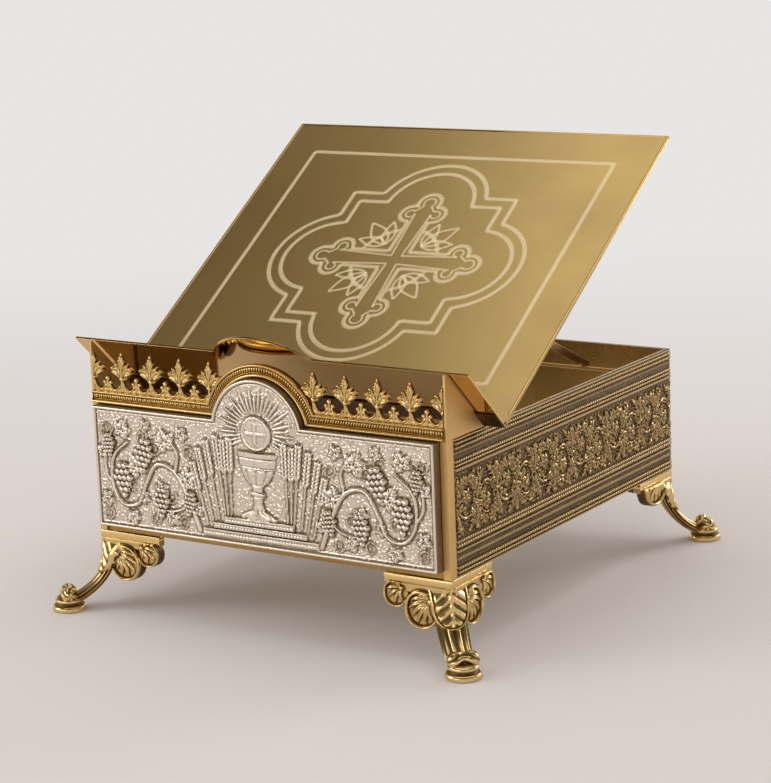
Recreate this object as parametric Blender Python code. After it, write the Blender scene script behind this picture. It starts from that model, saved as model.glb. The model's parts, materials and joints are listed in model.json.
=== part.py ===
"""Missal stand: a brass box on four cast feet, with a tilting book plate.

Metres, +Z up. X runs along the front, -Y is the front, and the origin lies on
the table under the middle of the box.
"""

import math

import bmesh
import bpy
from mathutils import Matrix, Vector

# Box
BOX_WIDTH = 0.300
BOX_DEPTH = 0.330
BOX_HEIGHT = 0.0954
FOOT_HEIGHT = 0.0586
WALL = 0.0016
TOUCH = 0.0003

# Front corner angles and their cheeks
ANGLE_SHEET = 0.0016
FRONT_FLANGE = 0.0056
SIDE_FLANGE = 0.0078
CHEEK_RISE = 0.0450

# Plaque with its round arch, and the moulding above it
PLAQUE_PROUD = 0.0085
PLAQUE_LIFT = 0.0060
PLAQUE_BORDER = 0.0032
PLAQUE_RECESS = 0.0016
PLAQUE_BEVEL = 0.0008
ARCH_RADIUS = 0.0385
ARCH_DROP = 0.0075
ARCH_STEPS = 24
MOULDING_WIDTH = 0.0092
MOULDING_BACK = 0.0014
STUD_RADIUS = 0.0015
STUD_REACH = 0.0050
STUD_SPREAD = 0.230
STUD_RISE = 0.052

# Relief on the plaque: a chalice and a disc under rays, between wheat and vines
RELIEF = 0.0032
RELIEF_SINK = 0.0004
RAYS = 7
DISC_RADIUS = 0.0126

# Pierced cresting
CREST_PITCH = 0.0260
CREST_COUNT = 4
CREST_BASE = 0.0022
CREST_HEIGHT = 0.0285
CREST_SHEET = 0.0024

# Ornamental strip round the sides and the back, with its frieze
STRIP_SHEET = 0.0012
FRIEZE_TOP = 0.252
FRIEZE_FOOT = 0.722
FRIEZE_REPEATS = 6
FRIEZE_RELIEF = 0.0016
FRIEZE_STEM = 0.0016
ROSETTE_RADIUS = 0.0068

# Book plate, ledge and the long hinge between them
PLATE_WIDTH = 0.3312
PLATE_LENGTH = 0.3015
PLATE_SHEET = 0.0016
PLATE_TILT = math.radians(33.06)
LEDGE_REACH = 0.0633
LEDGE_SLOPE = math.radians(43.5)
SWELL_HALF_WIDTH = 0.0410
SWELL_RISE = 0.0220
SWELL_STEPS = 20
HINGE_SETBACK = 0.0500
BARREL_RADIUS = 0.0019
PIN_RADIUS = 0.0010
PIN_PLAY = 0.0002
LEAF_WIDTH = 0.0150
LEAF_SHEET = 0.0008
KNUCKLES = 11

# Prop stay, its bracket and the rail that it lies on
STAY_OFFSET = 0.0980
STAY_HEIGHT = 0.0060
STAY_SHEET = 0.0030
STAY_TAIL = 0.0060
STAY_NOTCH = 0.0012
STAY_NOTCH_LENGTH = 0.0120
BRACKET_REACH = 0.1125
BRACKET_LENGTH = 0.0120
BRACKET_SHEET = 0.0016
BRACKET_FLANGE = 0.0070
BRACKET_DROP = 0.0058
STAY_PIN_RADIUS = 0.0012
STAY_PIN_HEAD = 0.0022
STAY_PIN_HEAD_THICKNESS = 0.0010
RAIL_RADIUS = 0.0015
RAIL_SETBACK = 0.0450
RAIL_DROP = 0.0106
BOSS_RADIUS = 0.0048
BOSS_THICKNESS = 0.0030

# Cast feet
BAND_HEIGHT = 0.0072
BAND_LENGTH = 0.0535
BAND_DEPTH = 0.0060
WEB_REACH = 0.0340
WING_SHEET = 0.0052
LOBE_PROUD = 0.0020
OUTER_LOBE_RADIUS = 0.0098
INNER_LOBE_RADIUS = 0.0138
REAR_LOBE_PLACE = 0.0310
REAR_LOBE_HALF_WIDTH = 0.0180
REAR_LOBE_DROP = 0.0142
REAR_LOBE_ARCS = 8
LOBE_SIDES = 10
LEAF_HALF_WIDTH = 0.0132
LEAF_HEIGHT = 0.0262
LEAF_DEPTH = 0.0056
LEAF_PROUD = 0.0006
LEAF_COLUMNS = 8
LEAF_ROWS = 5
SPLAY = 0.0265
STEM_SETBACK = 0.0056
STEM_SIDES = 12
STEM_HALF_WIDTH = 0.0116
ANKLE_HALF_WIDTH = 0.0084
STEM_HALF_DEPTH = 0.0042
FLUTE_SHARE = 0.10
SCROLL_RADIUS = 0.0062
SCROLL_HALF_LENGTH = 0.0112
BASE_RADIUS = 0.0126
BASE_HEIGHT = 0.0104
BASE_SIDES = 14

# Fixings of the feet inside the box
GUSSET_REACH = 0.0360
GUSSET_SHEET = 0.0016
BOLT_INSET = 0.0140
BOLT_RADIUS = 0.0020
BOLT_PLAY = 0.0003
WASHER_RADIUS = 0.0046
WASHER_SHEET = 0.0008
NUT_RADIUS = 0.0038
NUT_HEIGHT = 0.0032
BOLT_TAIL = 0.0012

# Derived places
FRONT = -BOX_DEPTH / 2
BACK = BOX_DEPTH / 2
SIDE = BOX_WIDTH / 2
FLOOR = FOOT_HEIGHT
RIM = FOOT_HEIGHT + BOX_HEIGHT
SKIN = ANGLE_SHEET + TOUCH
INNER = SKIN + WALL
BAND_TOP = FLOOR - TOUCH
BAND_FOOT = BAND_TOP - BAND_HEIGHT
HINGE = Vector((0.0, FRONT + HINGE_SETBACK, RIM + TOUCH + BARREL_RADIUS))
PLATE_FACE = PLATE_SHEET / 2
LEAF_NEAR = PLATE_FACE + TOUCH
LEAF_FAR = LEAF_NEAR + LEAF_SHEET
LEDGE_TURN = math.pi - LEDGE_SLOPE
ARCH_CENTRE = RIM - ARCH_DROP
RAIL = Vector((0.0, BACK - RAIL_SETBACK, RIM - RAIL_DROP))

BRASS = (0.72, 0.52, 0.23, 1.0)
POLISHED = (0.80, 0.60, 0.28, 1.0)
ANTIQUE = (0.50, 0.42, 0.30, 1.0)
SILVER = (0.78, 0.78, 0.80, 1.0)
STEEL = (0.55, 0.55, 0.56, 1.0)


def clear_scene():
    """Remove whatever the file holds."""
    for item in list(bpy.data.objects):
        bpy.data.objects.remove(item, do_unlink=True)


def finish(name, colour, roughness, metallic):
    """Return the material of one piece."""
    made = bpy.data.materials.new(name)
    made.use_nodes = True
    shader = made.node_tree.nodes["Principled BSDF"]
    shader.inputs["Base Color"].default_value = colour
    shader.inputs["Roughness"].default_value = roughness
    shader.inputs["Metallic"].default_value = metallic
    made.diffuse_color = colour
    return made


def piece(name, mesh, colour, roughness=0.25, place=None, turn=0.0, smooth=None):
    """Link one sub-part, turned about X at its place."""
    item = bpy.data.objects.new(name, mesh)
    bpy.context.scene.collection.objects.link(item)
    mesh.materials.clear()
    mesh.materials.append(finish(name, colour, roughness, 1.0))
    item.location = place or Vector()
    item.rotation_euler = (turn, 0.0, 0.0)
    if smooth is not None:
        mesh.shade_smooth()
        mesh.set_sharp_from_angle(angle=math.radians(smooth))
    return item


def to_mesh(bm, name="shape"):
    """Close a bmesh into mesh data with its faces pointing out."""
    bmesh.ops.recalc_face_normals(bm, faces=bm.faces)
    mesh = bpy.data.meshes.new(name)
    bm.to_mesh(mesh)
    bm.free()
    return mesh


def loft(rings, closed=False):
    """Skin a list of equal rings of points, capping the ends unless closed."""
    bm = bmesh.new()
    rows = [[bm.verts.new(point) for point in ring] for ring in rings]
    size = len(rows[0])
    spans = len(rows) if closed else len(rows) - 1
    for index in range(spans):
        low = rows[index]
        high = rows[(index + 1) % len(rows)]
        for step in range(size):
            after = (step + 1) % size
            bm.faces.new((low[step], low[after], high[after], high[step]))
    if not closed:
        bm.faces.new(rows[0])
        bm.faces.new(list(reversed(rows[-1])))
    return to_mesh(bm)


def prism(outline, axis, low, high):
    """Extrude a flat outline from low to high along X, Y or Z."""
    places = {
        "X": lambda a, b, c: (c, a, b),
        "Y": lambda a, b, c: (a, c, b),
        "Z": lambda a, b, c: (a, b, c),
    }
    place = places[axis]
    return loft([[place(a, b, level) for a, b in outline] for level in (low, high)])


def box(low, high):
    """Return a block between two corners."""
    outline = [(low[0], low[1]), (high[0], low[1]), (high[0], high[1]), (low[0], high[1])]
    return prism(outline, "Z", low[2], high[2])


def arc(centre, radius, start, end, steps):
    """Points of an arc in degrees, both ends included."""
    points = []
    for step in range(steps + 1):
        angle = math.radians(start + (end - start) * step / steps)
        points.append((centre[0] + radius * math.cos(angle), centre[1] + radius * math.sin(angle)))
    return points


def circle(centre, radius, steps):
    """Points round a full circle."""
    return arc(centre, radius, 0.0, 360.0 - 360.0 / steps, steps - 1)


def ring(outer, inner, axis, low, high):
    """Extrude an outline with a hole of as many points."""
    solid = prism(outer, axis, low, high)
    cutter = prism(inner, axis, low - WALL, high + WALL)
    return combine(solid, [cutter], "DIFFERENCE")


def combine(base, others, operation):
    """Join meshes to a base, or cut them out of it, with exact booleans."""
    target = bpy.data.objects.new("target", base)
    bpy.context.scene.collection.objects.link(target)
    tools = []
    for mesh in others:
        tool = bpy.data.objects.new("tool", mesh)
        tool.hide_render = True
        tool.display_type = "WIRE"
        bpy.context.scene.collection.objects.link(tool)
        step = target.modifiers.new("step", "BOOLEAN")
        step.operation = operation
        step.solver = "EXACT"
        step.object = tool
        tools.append(tool)
    graph = bpy.context.evaluated_depsgraph_get()
    result = bpy.data.meshes.new_from_object(target.evaluated_get(graph))
    for item in tools + [target]:
        bpy.data.objects.remove(item, do_unlink=True)
    return result


def moved(mesh, matrix):
    """Return a transformed copy of a mesh, turned right side out if mirrored."""
    copy = mesh.copy()
    copy.transform(matrix)
    if matrix.determinant() < 0.0:
        copy.flip_normals()
    return copy


def boss(outline, height, share, place):
    """Raised form on a face: an outline, and the same drawn in to a share of itself at its height."""
    middle = [sum(values) / len(outline) for values in zip(*outline)]
    top = [(middle[0] + (a - middle[0]) * share, middle[1] + (b - middle[1]) * share) for a, b in outline]
    return loft([[place(a, b, -RELIEF_SINK) for a, b in outline], [place(a, b, height) for a, b in top]])


def ridge(stations, place):
    """Raised rib on a face through stations of (along, up, half width, height)."""
    rings = []
    last = len(stations) - 1
    for index, (a, b, half, height) in enumerate(stations):
        ahead = stations[min(index + 1, last)]
        behind = stations[max(index - 1, 0)]
        run = Vector((ahead[0] - behind[0], ahead[1] - behind[1])).normalized()
        rings.append([
            place(a - run.y * half, b + run.x * half, -RELIEF_SINK),
            place(a, b, height),
            place(a + run.y * half, b - run.x * half, -RELIEF_SINK),
        ])
    return loft(rings)


def flowing(spots, steps):
    """Points of a smooth line through a few spots."""
    last = len(spots) - 1
    line = []
    for index in range(last):
        before, start, end, after = [Vector(spots[min(max(index + shift, 0), last)]) for shift in (-1, 0, 1, 2)]
        for step in range(steps):
            t = step / steps
            bend = (2.0 * before - 5.0 * start + 4.0 * end - after) * t * t
            twist = (3.0 * start - before - 3.0 * end + after) * t ** 3
            line.append(tuple(start + 0.5 * ((end - before) * t + bend + twist)))
    line.append(tuple(spots[-1]))
    return line


def arched_line(offset, half_width, level):
    """Points along a straight top edge that rises over the arch, from left to right.

    The straight runs lie at the level and the arch is wider than the plaque's by
    the offset.
    """
    radius = ARCH_RADIUS + offset
    meet = math.asin((level - ARCH_CENTRE) / radius)
    start = 180.0 - math.degrees(meet)
    end = math.degrees(meet)
    return [(-half_width, level), *arc((0.0, ARCH_CENTRE), radius, start, end, ARCH_STEPS), (half_width, level)]


def front_wall():
    """Sheet behind the plaque and the moulding, with holes for the plaque's studs."""
    half = SIDE - INNER - TOUCH
    top = arched_line(MOULDING_WIDTH - TOUCH, half, RIM + MOULDING_WIDTH - TOUCH)
    outline = [(half, FLOOR), (-half, FLOOR), *top]
    near = FRONT + SKIN
    sheet = prism(outline, "Y", near, near + WALL)
    drills = [
        prism(circle(spot, STUD_RADIUS + BOLT_PLAY, 12), "Y", near - WALL, near + 2 * WALL)
        for spot in stud_spots()
    ]
    mesh = combine(sheet, drills, "DIFFERENCE")
    piece("front_wall", mesh, BRASS)


def stud_spots():
    """Places of the plaque's four studs on the front, as X and Z."""
    middle = (FLOOR + PLAQUE_LIFT + RIM) / 2
    return [
        (side * STUD_SPREAD / 2, middle + level * STUD_RISE / 2)
        for level in (-1, 1)
        for side in (-1, 1)
    ]


def chalice(foot, height, place):
    """Chalice seen from the front: half round, with a knop and a wide cup."""
    rows = [
        (0.00, 0.350),
        (0.06, 0.320),
        (0.14, 0.125),
        (0.27, 0.076),
        (0.39, 0.152),
        (0.47, 0.086),
        (0.60, 0.220),
        (0.82, 0.322),
        (1.00, 0.362),
    ]
    rings = []
    for level, width in rows:
        half = width * height
        section = [(1.0, 0.0), (0.85, 0.5), (0.3, 0.95), (-0.3, 0.95), (-0.85, 0.5), (-1.0, 0.0)]
        edge = [(half * share, RELIEF * rise - RELIEF_SINK) for share, rise in section]
        rings.append([place(a, foot + level * height, rise) for a, rise in edge])
    return loft(rings)


def vine_leaf(spot, radius, heading, place):
    """Five-lobed leaf round a spot."""
    outline = []
    for turn, share in ((-118.0, 0.66), (-58.0, 0.86), (0.0, 1.0), (58.0, 0.86), (118.0, 0.66)):
        for offset, reach in ((0.0, share), (29.0, 0.44)):
            angle = math.radians(heading + turn + offset)
            away = radius * reach
            outline.append((spot[0] + away * math.cos(angle), spot[1] + away * math.sin(angle)))
    return boss(outline, RELIEF * 0.75, 0.40, place)


def grapes(spot, length, heading, place):
    """Bunch of grapes hanging from a spot, as one tapering swelling."""
    along = Vector((math.cos(math.radians(heading)), math.sin(math.radians(heading))))
    across = Vector((-along.y, along.x))
    outline = []
    for share, half in ((0.0, 0.16), (0.35, 0.27), (1.0, 0.05), (1.0, -0.05), (0.35, -0.27), (0.0, -0.16)):
        outline.append(tuple(Vector(spot) + along * (share * length) + across * (half * length)))
    return boss(outline, RELIEF * 0.9, 0.55, place)


def wheat(base, tip, place):
    """Ear of wheat on its stalk."""
    stations = []
    profile = ((0.0, 0.0009, 0.4), (0.55, 0.0009, 0.5), (0.70, 0.0029, 0.75), (1.0, 0.0006, 0.3))
    for share, half, height in profile:
        along = base[0] + (tip[0] - base[0]) * share
        up = base[1] + (tip[1] - base[1]) * share
        stations.append((along, up, half, RELIEF * height))
    return ridge(stations, place)


def plaque_relief(half, low, high, field):
    """Forms of the relief over the plaque's sunk field, which spans +-half and low to high."""
    tall = high - low

    def place(across, level, rise):
        return (across, field - rise, level)

    def at(across, up):
        return (across * half, low + up * tall)

    shapes = []
    for width, top, rise in ((0.357, 0.074, 0.50), (0.286, 0.136, 0.62), (0.214, 0.203, 0.75)):
        left, right = at(-width, 0.010 + 0.02 * rise), at(width, top)
        outline = [left, (right[0], left[1]), right, (left[0], right[1])]
        shapes.append(boss(outline, RELIEF * rise, 0.98, place))
    shapes.append(chalice(at(0.0, 0.197)[1], 0.598 * tall, place))
    disc = at(0.0, 0.962)
    shapes.append(boss(circle(disc, DISC_RADIUS, 12), RELIEF * 0.6, 0.85, place))
    for ray in range(RAYS):
        angle = math.radians(-10.0 + 200.0 * ray / (RAYS - 1))
        heading = (math.cos(angle), math.sin(angle))
        stations = []
        for away, width in ((DISC_RADIUS + 0.0018, 0.0015), (ARCH_RADIUS * 0.84, 0.0005)):
            stations.append((disc[0] + away * heading[0], disc[1] + away * heading[1], width, RELIEF * 0.4))
        shapes.append(ridge(stations, place))
    for side in (-1, 1):
        def across_at(across, up, side=side):
            return at(side * across, up)

        def facing(heading, side=side):
            return heading if side > 0 else 180.0 - heading

        for base, tip in (((0.171, 0.21), (0.164, 0.925)), ((0.210, 0.21), (0.257, 0.930)),
                          ((0.290, 0.14), (0.370, 0.800))):
            shapes.append(wheat(across_at(*base), across_at(*tip), place))
        vine = ((0.371, 0.037), (0.428, 0.284), (0.514, 0.530), (0.628, 0.580), (0.700, 0.407), (0.757, 0.210),
                (0.857, 0.185), (0.921, 0.358), (0.907, 0.604), (0.814, 0.752))
        stations = [(*spot, 0.0019, RELIEF * 0.7) for spot in flowing([across_at(*spot) for spot in vine], 2)]
        shapes.append(ridge(stations, place))
        for across, up, radius, heading in ((0.450, 0.470, 0.160, 150.0), (0.570, 0.770, 0.166, 70.0),
                                            (0.757, 0.510, 0.172, 60.0), (0.850, 0.840, 0.140, 110.0)):
            shapes.append(vine_leaf(across_at(across, up), radius * tall, facing(heading), place))
        for across, up, length, heading in ((0.692, 0.800, 0.310, -80.0), (0.850, 0.560, 0.320, -92.0),
                                            (0.600, 0.380, 0.280, -86.0)):
            shapes.append(grapes(across_at(across, up), length * tall, facing(heading), place))
    return shapes


def relief_plaque():
    """Silver plaque: arched outline, raised border, sunk field with its relief, and studs behind."""
    half = SIDE - FRONT_FLANGE - TOUCH
    low = FLOOR + PLAQUE_LIFT
    high = RIM - TOUCH

    def outline(inset, depth):
        top = arched_line(-TOUCH - inset, half - inset, high - inset)
        corners = [(half - inset, low + inset), (-half + inset, low + inset)]
        return [(x, depth, z) for x, z in corners + top]

    seat = FRONT + SKIN - TOUCH
    face = FRONT - PLAQUE_PROUD
    rings = [
        outline(0.0, seat),
        outline(0.0, face + PLAQUE_BEVEL),
        outline(PLAQUE_BEVEL, face),
        outline(PLAQUE_BORDER, face),
        outline(PLAQUE_BORDER + PLAQUE_BEVEL, face + PLAQUE_RECESS),
    ]
    studs = [
        prism(circle(spot, STUD_RADIUS, 10), "Y", seat - STUD_RADIUS, seat + WALL + STUD_REACH)
        for spot in stud_spots()
    ]
    margin = PLAQUE_BORDER + PLAQUE_BEVEL
    forms = plaque_relief(half - margin, low + margin, high - margin, face + PLAQUE_RECESS)
    piece("relief_plaque", combine(loft(rings), studs + forms, "UNION"), SILVER, 0.3)
    near = FRONT + INNER + TOUCH
    for number, spot in enumerate(stud_spots(), 1):
        hole = circle(spot, STUD_RADIUS + BOLT_PLAY, 10)
        nut = ring(circle(spot, NUT_RADIUS, 6), hole, "Y", near, near + NUT_HEIGHT)
        piece(f"plaque_nut_{number}", nut, STEEL, 0.4)


def gallery_moulding():
    """Moulding along the top of the plaque and round its arch."""
    half = SIDE - ANGLE_SHEET - TOUCH
    back = FRONT + SKIN - TOUCH
    front = FRONT - MOULDING_BACK
    quarter = MOULDING_WIDTH / 4
    section = [
        (0.0, back),
        (0.0, front - 0.0010),
        (quarter * 0.35, front - 0.0018),
        (quarter * 0.85, front - 0.0018),
        (quarter * 1.10, front - 0.0004),
        (quarter * 1.35, front),
        (quarter * 2.70, front),
        (quarter * 2.90, front - 0.0012),
        (quarter * 3.60, front - 0.0012),
        (quarter * 4.00, front),
        (quarter * 4.00, back),
    ]
    lines = [[(x, depth, z) for x, z in arched_line(rise, half, RIM + rise)] for rise, depth in section]
    rings = [list(points) for points in zip(*lines)]
    piece("gallery_moulding", loft(rings), BRASS, 0.28)


def fleur_half():
    """Right half of one fleur and half of the sprout beside it, tip to tip.

    Points are (across from the fleur's stem, up from the base line), for the pitch
    of the run.
    """
    middle = CREST_PITCH / 2
    tip = CREST_HEIGHT
    bud = [(0.0, tip), *arc((0.0, tip - 0.0040), 0.0020, 40.0, -40.0, 2)]
    shoulder = [
        *arc((0.0036, tip - 0.0062), 0.0014, 80.0, -70.0, 3),
        (0.0016, tip - 0.0094),
    ]
    leaf = [
        (0.0050, tip - 0.0088),
        *arc((0.0082, tip - 0.0102), 0.0018, 90.0, -60.0, 3),
        (0.0062, tip - 0.0136),
        (0.0034, tip - 0.0164),
    ]
    stem = [
        (0.0016, tip - 0.0182),
        *arc((0.0010, tip - 0.0198), 0.0014, 50.0, -50.0, 2),
        (0.0013, tip - 0.0222),
        (0.0024, CREST_BASE + 0.0012),
    ]
    eye = arc((middle - 0.0052, CREST_BASE + 0.0034), 0.0034, 225.0, 350.0, 4)
    sprout = [
        (middle - 0.0008, CREST_BASE + 0.0046),
        (middle - 0.0014, CREST_BASE + 0.0058),
        (middle, CREST_BASE + 0.0086),
    ]
    return bud + shoulder + leaf + stem + eye + sprout


def cresting():
    """Pierced runs of fleurs, left and right of the arch, half a fleur at each corner."""
    half = SIDE - ANGLE_SHEET - TOUCH
    floor = RIM + MOULDING_WIDTH + TOUCH
    right = fleur_half()
    left = [(-across, up) for across, up in reversed(right)]
    run = [(half, 0.0)]
    for index in range(CREST_COUNT + 1):
        stem = half - index * CREST_PITCH
        if index > 0:
            run += [(stem + across, up) for across, up in reversed(right)][1:]
        if index < CREST_COUNT:
            run += [(stem + across, up) for across, up in reversed(left)][1 if index else 0:]
    inner = half - CREST_COUNT * CREST_PITCH
    run += arch_side(inner, floor)
    outline = [(across, floor + up) for across, up in run]
    low = FRONT
    high = FRONT + CREST_SHEET
    piece("cresting_right", prism(outline, "Y", low, high), BRASS)
    mirrored = [(-across, level) for across, level in outline]
    piece("cresting_left", prism(mirrored, "Y", low, high), BRASS)


def arch_side(inner, floor):
    """Inner half of the fleur that stands against the arch: its leaf, then down along the moulding."""
    clear = ARCH_RADIUS + MOULDING_WIDTH + 2 * TOUCH
    low = floor - ARCH_CENTRE
    start = math.degrees(math.asin(min((low + CREST_HEIGHT * 0.36) / clear, 1.0)))
    end = math.degrees(math.asin(low / clear))
    leaf = [(inner - across, up) for across, up in fleur_half() if up > CREST_HEIGHT * 0.48]
    return leaf[1:] + [(x, z - low) for x, z in arc((0.0, 0.0), clear, start, end, 4)]


def ledge_point(reach, drop):
    """World Y and Z of a point on the ledge: out from the hinge, and below its middle."""
    return (
        HINGE.y - reach * math.cos(LEDGE_SLOPE) - drop * math.sin(LEDGE_SLOPE),
        HINGE.z + reach * math.sin(LEDGE_SLOPE) - drop * math.cos(LEDGE_SLOPE),
    )


def corner_angles():
    """Front corner angles; the side flange rises into a cheek under the ledge."""
    crown = RIM + CHEEK_RISE
    foot = RIM + TOUCH
    seat = LEAF_FAR + TOUCH
    start = ledge_point(0.0, seat)
    slope = math.tan(LEDGE_SLOPE)
    crown_y = start[0] - (crown - start[1]) / slope
    foot_y = start[0] + (start[1] - foot) / slope
    flank = [
        (FRONT, FLOOR),
        (FRONT, crown),
        (max(crown_y, FRONT + TOUCH), crown),
        (foot_y, foot),
        (FRONT + SIDE_FLANGE, foot),
        (FRONT + SIDE_FLANGE, FLOOR),
    ]
    side = prism(flank, "X", SIDE - ANGLE_SHEET, SIDE)
    face = box((SIDE - FRONT_FLANGE, FRONT, FLOOR), (SIDE - ANGLE_SHEET / 2, FRONT + ANGLE_SHEET, RIM - TOUCH))
    right = combine(side, [face], "UNION")
    piece("corner_angle_right", right, POLISHED, 0.12)
    piece("corner_angle_left", moved(right, Matrix.Scale(-1.0, 4, (1.0, 0.0, 0.0))), POLISHED, 0.12)


def walls():
    """Side and back walls of plain sheet."""
    for name, side in (("side_wall_left", -1), ("side_wall_right", 1)):
        near, far = sorted((side * (SIDE - INNER), side * (SIDE - SKIN)))
        mesh = box((near, FRONT + SKIN, FLOOR), (far, BACK - SKIN, RIM))
        piece(name, mesh, ANTIQUE, 0.35)
    half = SIDE - INNER - TOUCH
    mesh = box((-half, BACK - INNER, FLOOR), (half, BACK - SKIN, RIM))
    piece("back_wall", mesh, ANTIQUE, 0.35)


def strip_section():
    """Section of the ornamental strip: (share of the height from the top, proud of the ground)."""
    reed = 0.0018
    fillet = 0.0010
    return [
        (0.000, fillet),
        (0.022, fillet),
        (0.030, reed),
        (0.052, reed + 0.0004),
        (0.074, reed),
        (0.084, -0.0002),
        (0.094, fillet),
        (0.118, fillet),
        (0.128, 0.0),
        (0.155, 0.0),
        (0.163, reed - 0.0004),
        (0.198, reed - 0.0004),
        (0.206, fillet),
        (0.240, fillet),
        (FRIEZE_TOP, 0.0),
        (FRIEZE_FOOT, 0.0),
        (0.734, reed - 0.0004),
        (0.792, reed - 0.0004),
        (0.802, fillet),
        (0.824, fillet),
        (0.836, -0.0002),
        (0.908, -0.0002),
        (0.922, reed),
        (0.955, reed + 0.0004),
        (0.988, reed),
        (1.000, fillet),
    ]


def frieze(length, place):
    """Running scroll of a strip: a waved stem, rosettes in its bends and leaves at its crossings.

    place maps a distance along, a height over the frieze's middle and a relief to a point.
    """
    tall = (FRIEZE_FOOT - FRIEZE_TOP) * BOX_HEIGHT / 2
    unit = length / FRIEZE_REPEATS
    stem = []
    for step in range(6 * FRIEZE_REPEATS):
        along = unit * (step + 0.5) / 6
        wave = -0.45 * tall * math.sin(2.0 * math.pi * along / unit)
        stem.append((along, wave, FRIEZE_STEM, FRIEZE_RELIEF * 0.75))
    shapes = [ridge(stem, place)]
    for index in range(2 * FRIEZE_REPEATS):
        side = -1 if index % 2 else 1
        heart = (unit * (0.25 + 0.5 * index), side * 0.205 * tall)
        shapes.append(boss(circle(heart, ROSETTE_RADIUS, 6), FRIEZE_RELIEF, 0.5, place))
        if index:
            post = unit * 0.5 * index
            leaf = [(post, 0.27), (post + 0.0046, 0.58), (post, 0.92), (post - 0.0046, 0.58)]
            outline = [(along, side * share * tall) for along, share in leaf]
            shapes.append(boss(outline, FRIEZE_RELIEF * 0.9, 0.25, place))
    return shapes


def strips():
    """Ornamental strips on both sides and the back, mitred at the back corners."""
    height = RIM - FLOOR
    front = FRONT + SIDE_FLANGE + TOUCH
    profile = [(RIM - share * height, STRIP_SHEET + proud) for share, proud in strip_section()]
    seat = SKIN - TOUCH
    profile = [(RIM, 0.0), *profile, (FLOOR, 0.0)]
    gap = TOUCH / 2
    right = loft([
        [(SIDE - seat + proud, front, level) for level, proud in profile],
        [(SIDE - seat + proud, BACK - seat + proud - gap, level) for level, proud in profile],
    ])
    middle = RIM - (FRIEZE_TOP + FRIEZE_FOOT) / 2 * height
    ground = STRIP_SHEET - seat
    run = BACK + ground - gap - front
    forms = frieze(run, lambda along, up, rise: (SIDE + ground + rise, front + along, middle + up))
    right = combine(right, forms, "UNION")
    piece("side_strip_right", right, ANTIQUE, 0.35)
    piece("side_strip_left", moved(right, Matrix.Scale(-1.0, 4, (1.0, 0.0, 0.0))), ANTIQUE, 0.35)
    back = loft([
        [(side * (SIDE - seat + proud - gap), BACK - seat + proud, level) for level, proud in profile]
        for side in (-1, 1)
    ])
    reach = SIDE + ground - gap
    forms = frieze(2.0 * reach, lambda along, up, rise: (along - reach, BACK + ground + rise, middle + up))
    piece("back_strip", combine(back, forms, "UNION"), ANTIQUE, 0.35)


def ledge():
    """Ledge with an arched swelling, lying up from the hinge over the cheeks."""
    half = PLATE_WIDTH / 2
    low = BARREL_RADIUS + TOUCH
    radius = (SWELL_HALF_WIDTH ** 2 + SWELL_RISE ** 2) / (2 * SWELL_RISE)
    spread = math.degrees(math.asin(SWELL_HALF_WIDTH / radius))
    centre = (0.0, LEDGE_REACH + SWELL_RISE - radius)
    swell = arc(centre, radius, 90.0 - spread, 90.0 + spread, SWELL_STEPS)
    outline = [(-half, low), (half, low), (half, LEDGE_REACH), *swell, (-half, LEDGE_REACH)]
    piece("book_ledge", prism(outline, "Z", -PLATE_FACE, PLATE_FACE), POLISHED, 0.1, HINGE, LEDGE_TURN)


def plate():
    """Book plate, flat, with eased corners."""
    half = PLATE_WIDTH / 2
    low = BARREL_RADIUS + TOUCH
    ease = PLATE_SHEET
    far = PLATE_LENGTH
    outline = [
        (-half, low),
        (half, low),
        *arc((half - ease, far - ease), ease, 0.0, 90.0, 3),
        *arc((-half + ease, far - ease), ease, 90.0, 180.0, 3),
    ]
    mesh = prism(outline, "Z", -PLATE_FACE, PLATE_FACE)
    piece("book_plate", mesh, BRASS, 0.3, HINGE, PLATE_TILT)


def hinge_leaf(parity):
    """One leaf with every second knuckle, lying on the upper face of its sheet."""
    half = PLATE_WIDTH / 2
    pitch = PLATE_WIDTH / KNUCKLES
    root = math.degrees(math.asin(LEAF_NEAR / BARREL_RADIUS))
    curl = arc((0.0, 0.0), BARREL_RADIUS, 90.0, 360.0 + root, 9)
    mesh = prism([(LEAF_WIDTH, LEAF_NEAR), (LEAF_WIDTH, LEAF_FAR), *curl], "X", -half, half)
    bore = prism(circle((0.0, 0.0), PIN_RADIUS + PIN_PLAY, 8), "X", -half - pitch, half + pitch)
    cutters = [bore]
    reach = 2 * BARREL_RADIUS
    for index in range(KNUCKLES):
        if index % 2 == parity:
            continue
        low = -half + index * pitch - (TOUCH if index else reach)
        high = -half + (index + 1) * pitch + (TOUCH if index < KNUCKLES - 1 else reach)
        cutters.append(box((low, -reach, -reach), (high, BARREL_RADIUS + TOUCH, reach)))
    return combine(mesh, cutters, "DIFFERENCE")


def long_hinge():
    """Knuckle hinge between the ledge and the plate, with its pin."""
    under = Matrix.Scale(-1.0, 4, (0.0, 0.0, 1.0))
    piece("hinge_leaf_fixed", hinge_leaf(0), BRASS, 0.3, HINGE, LEDGE_TURN)
    piece("hinge_leaf_moving", moved(hinge_leaf(1), under), BRASS, 0.3, HINGE, PLATE_TILT)
    half = PLATE_WIDTH / 2
    pin = prism(circle((0.0, 0.0), PIN_RADIUS, 8), "X", -half, half)
    piece("hinge_pin", pin, STEEL, 0.35, HINGE)


def stay_pivot():
    """World place of the stay's pivot under the plate."""
    return Vector((
        STAY_OFFSET,
        HINGE.y + BRACKET_REACH * math.cos(PLATE_TILT) + BRACKET_DROP * math.sin(PLATE_TILT),
        HINGE.z + BRACKET_REACH * math.sin(PLATE_TILT) - BRACKET_DROP * math.cos(PLATE_TILT),
    ))


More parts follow.
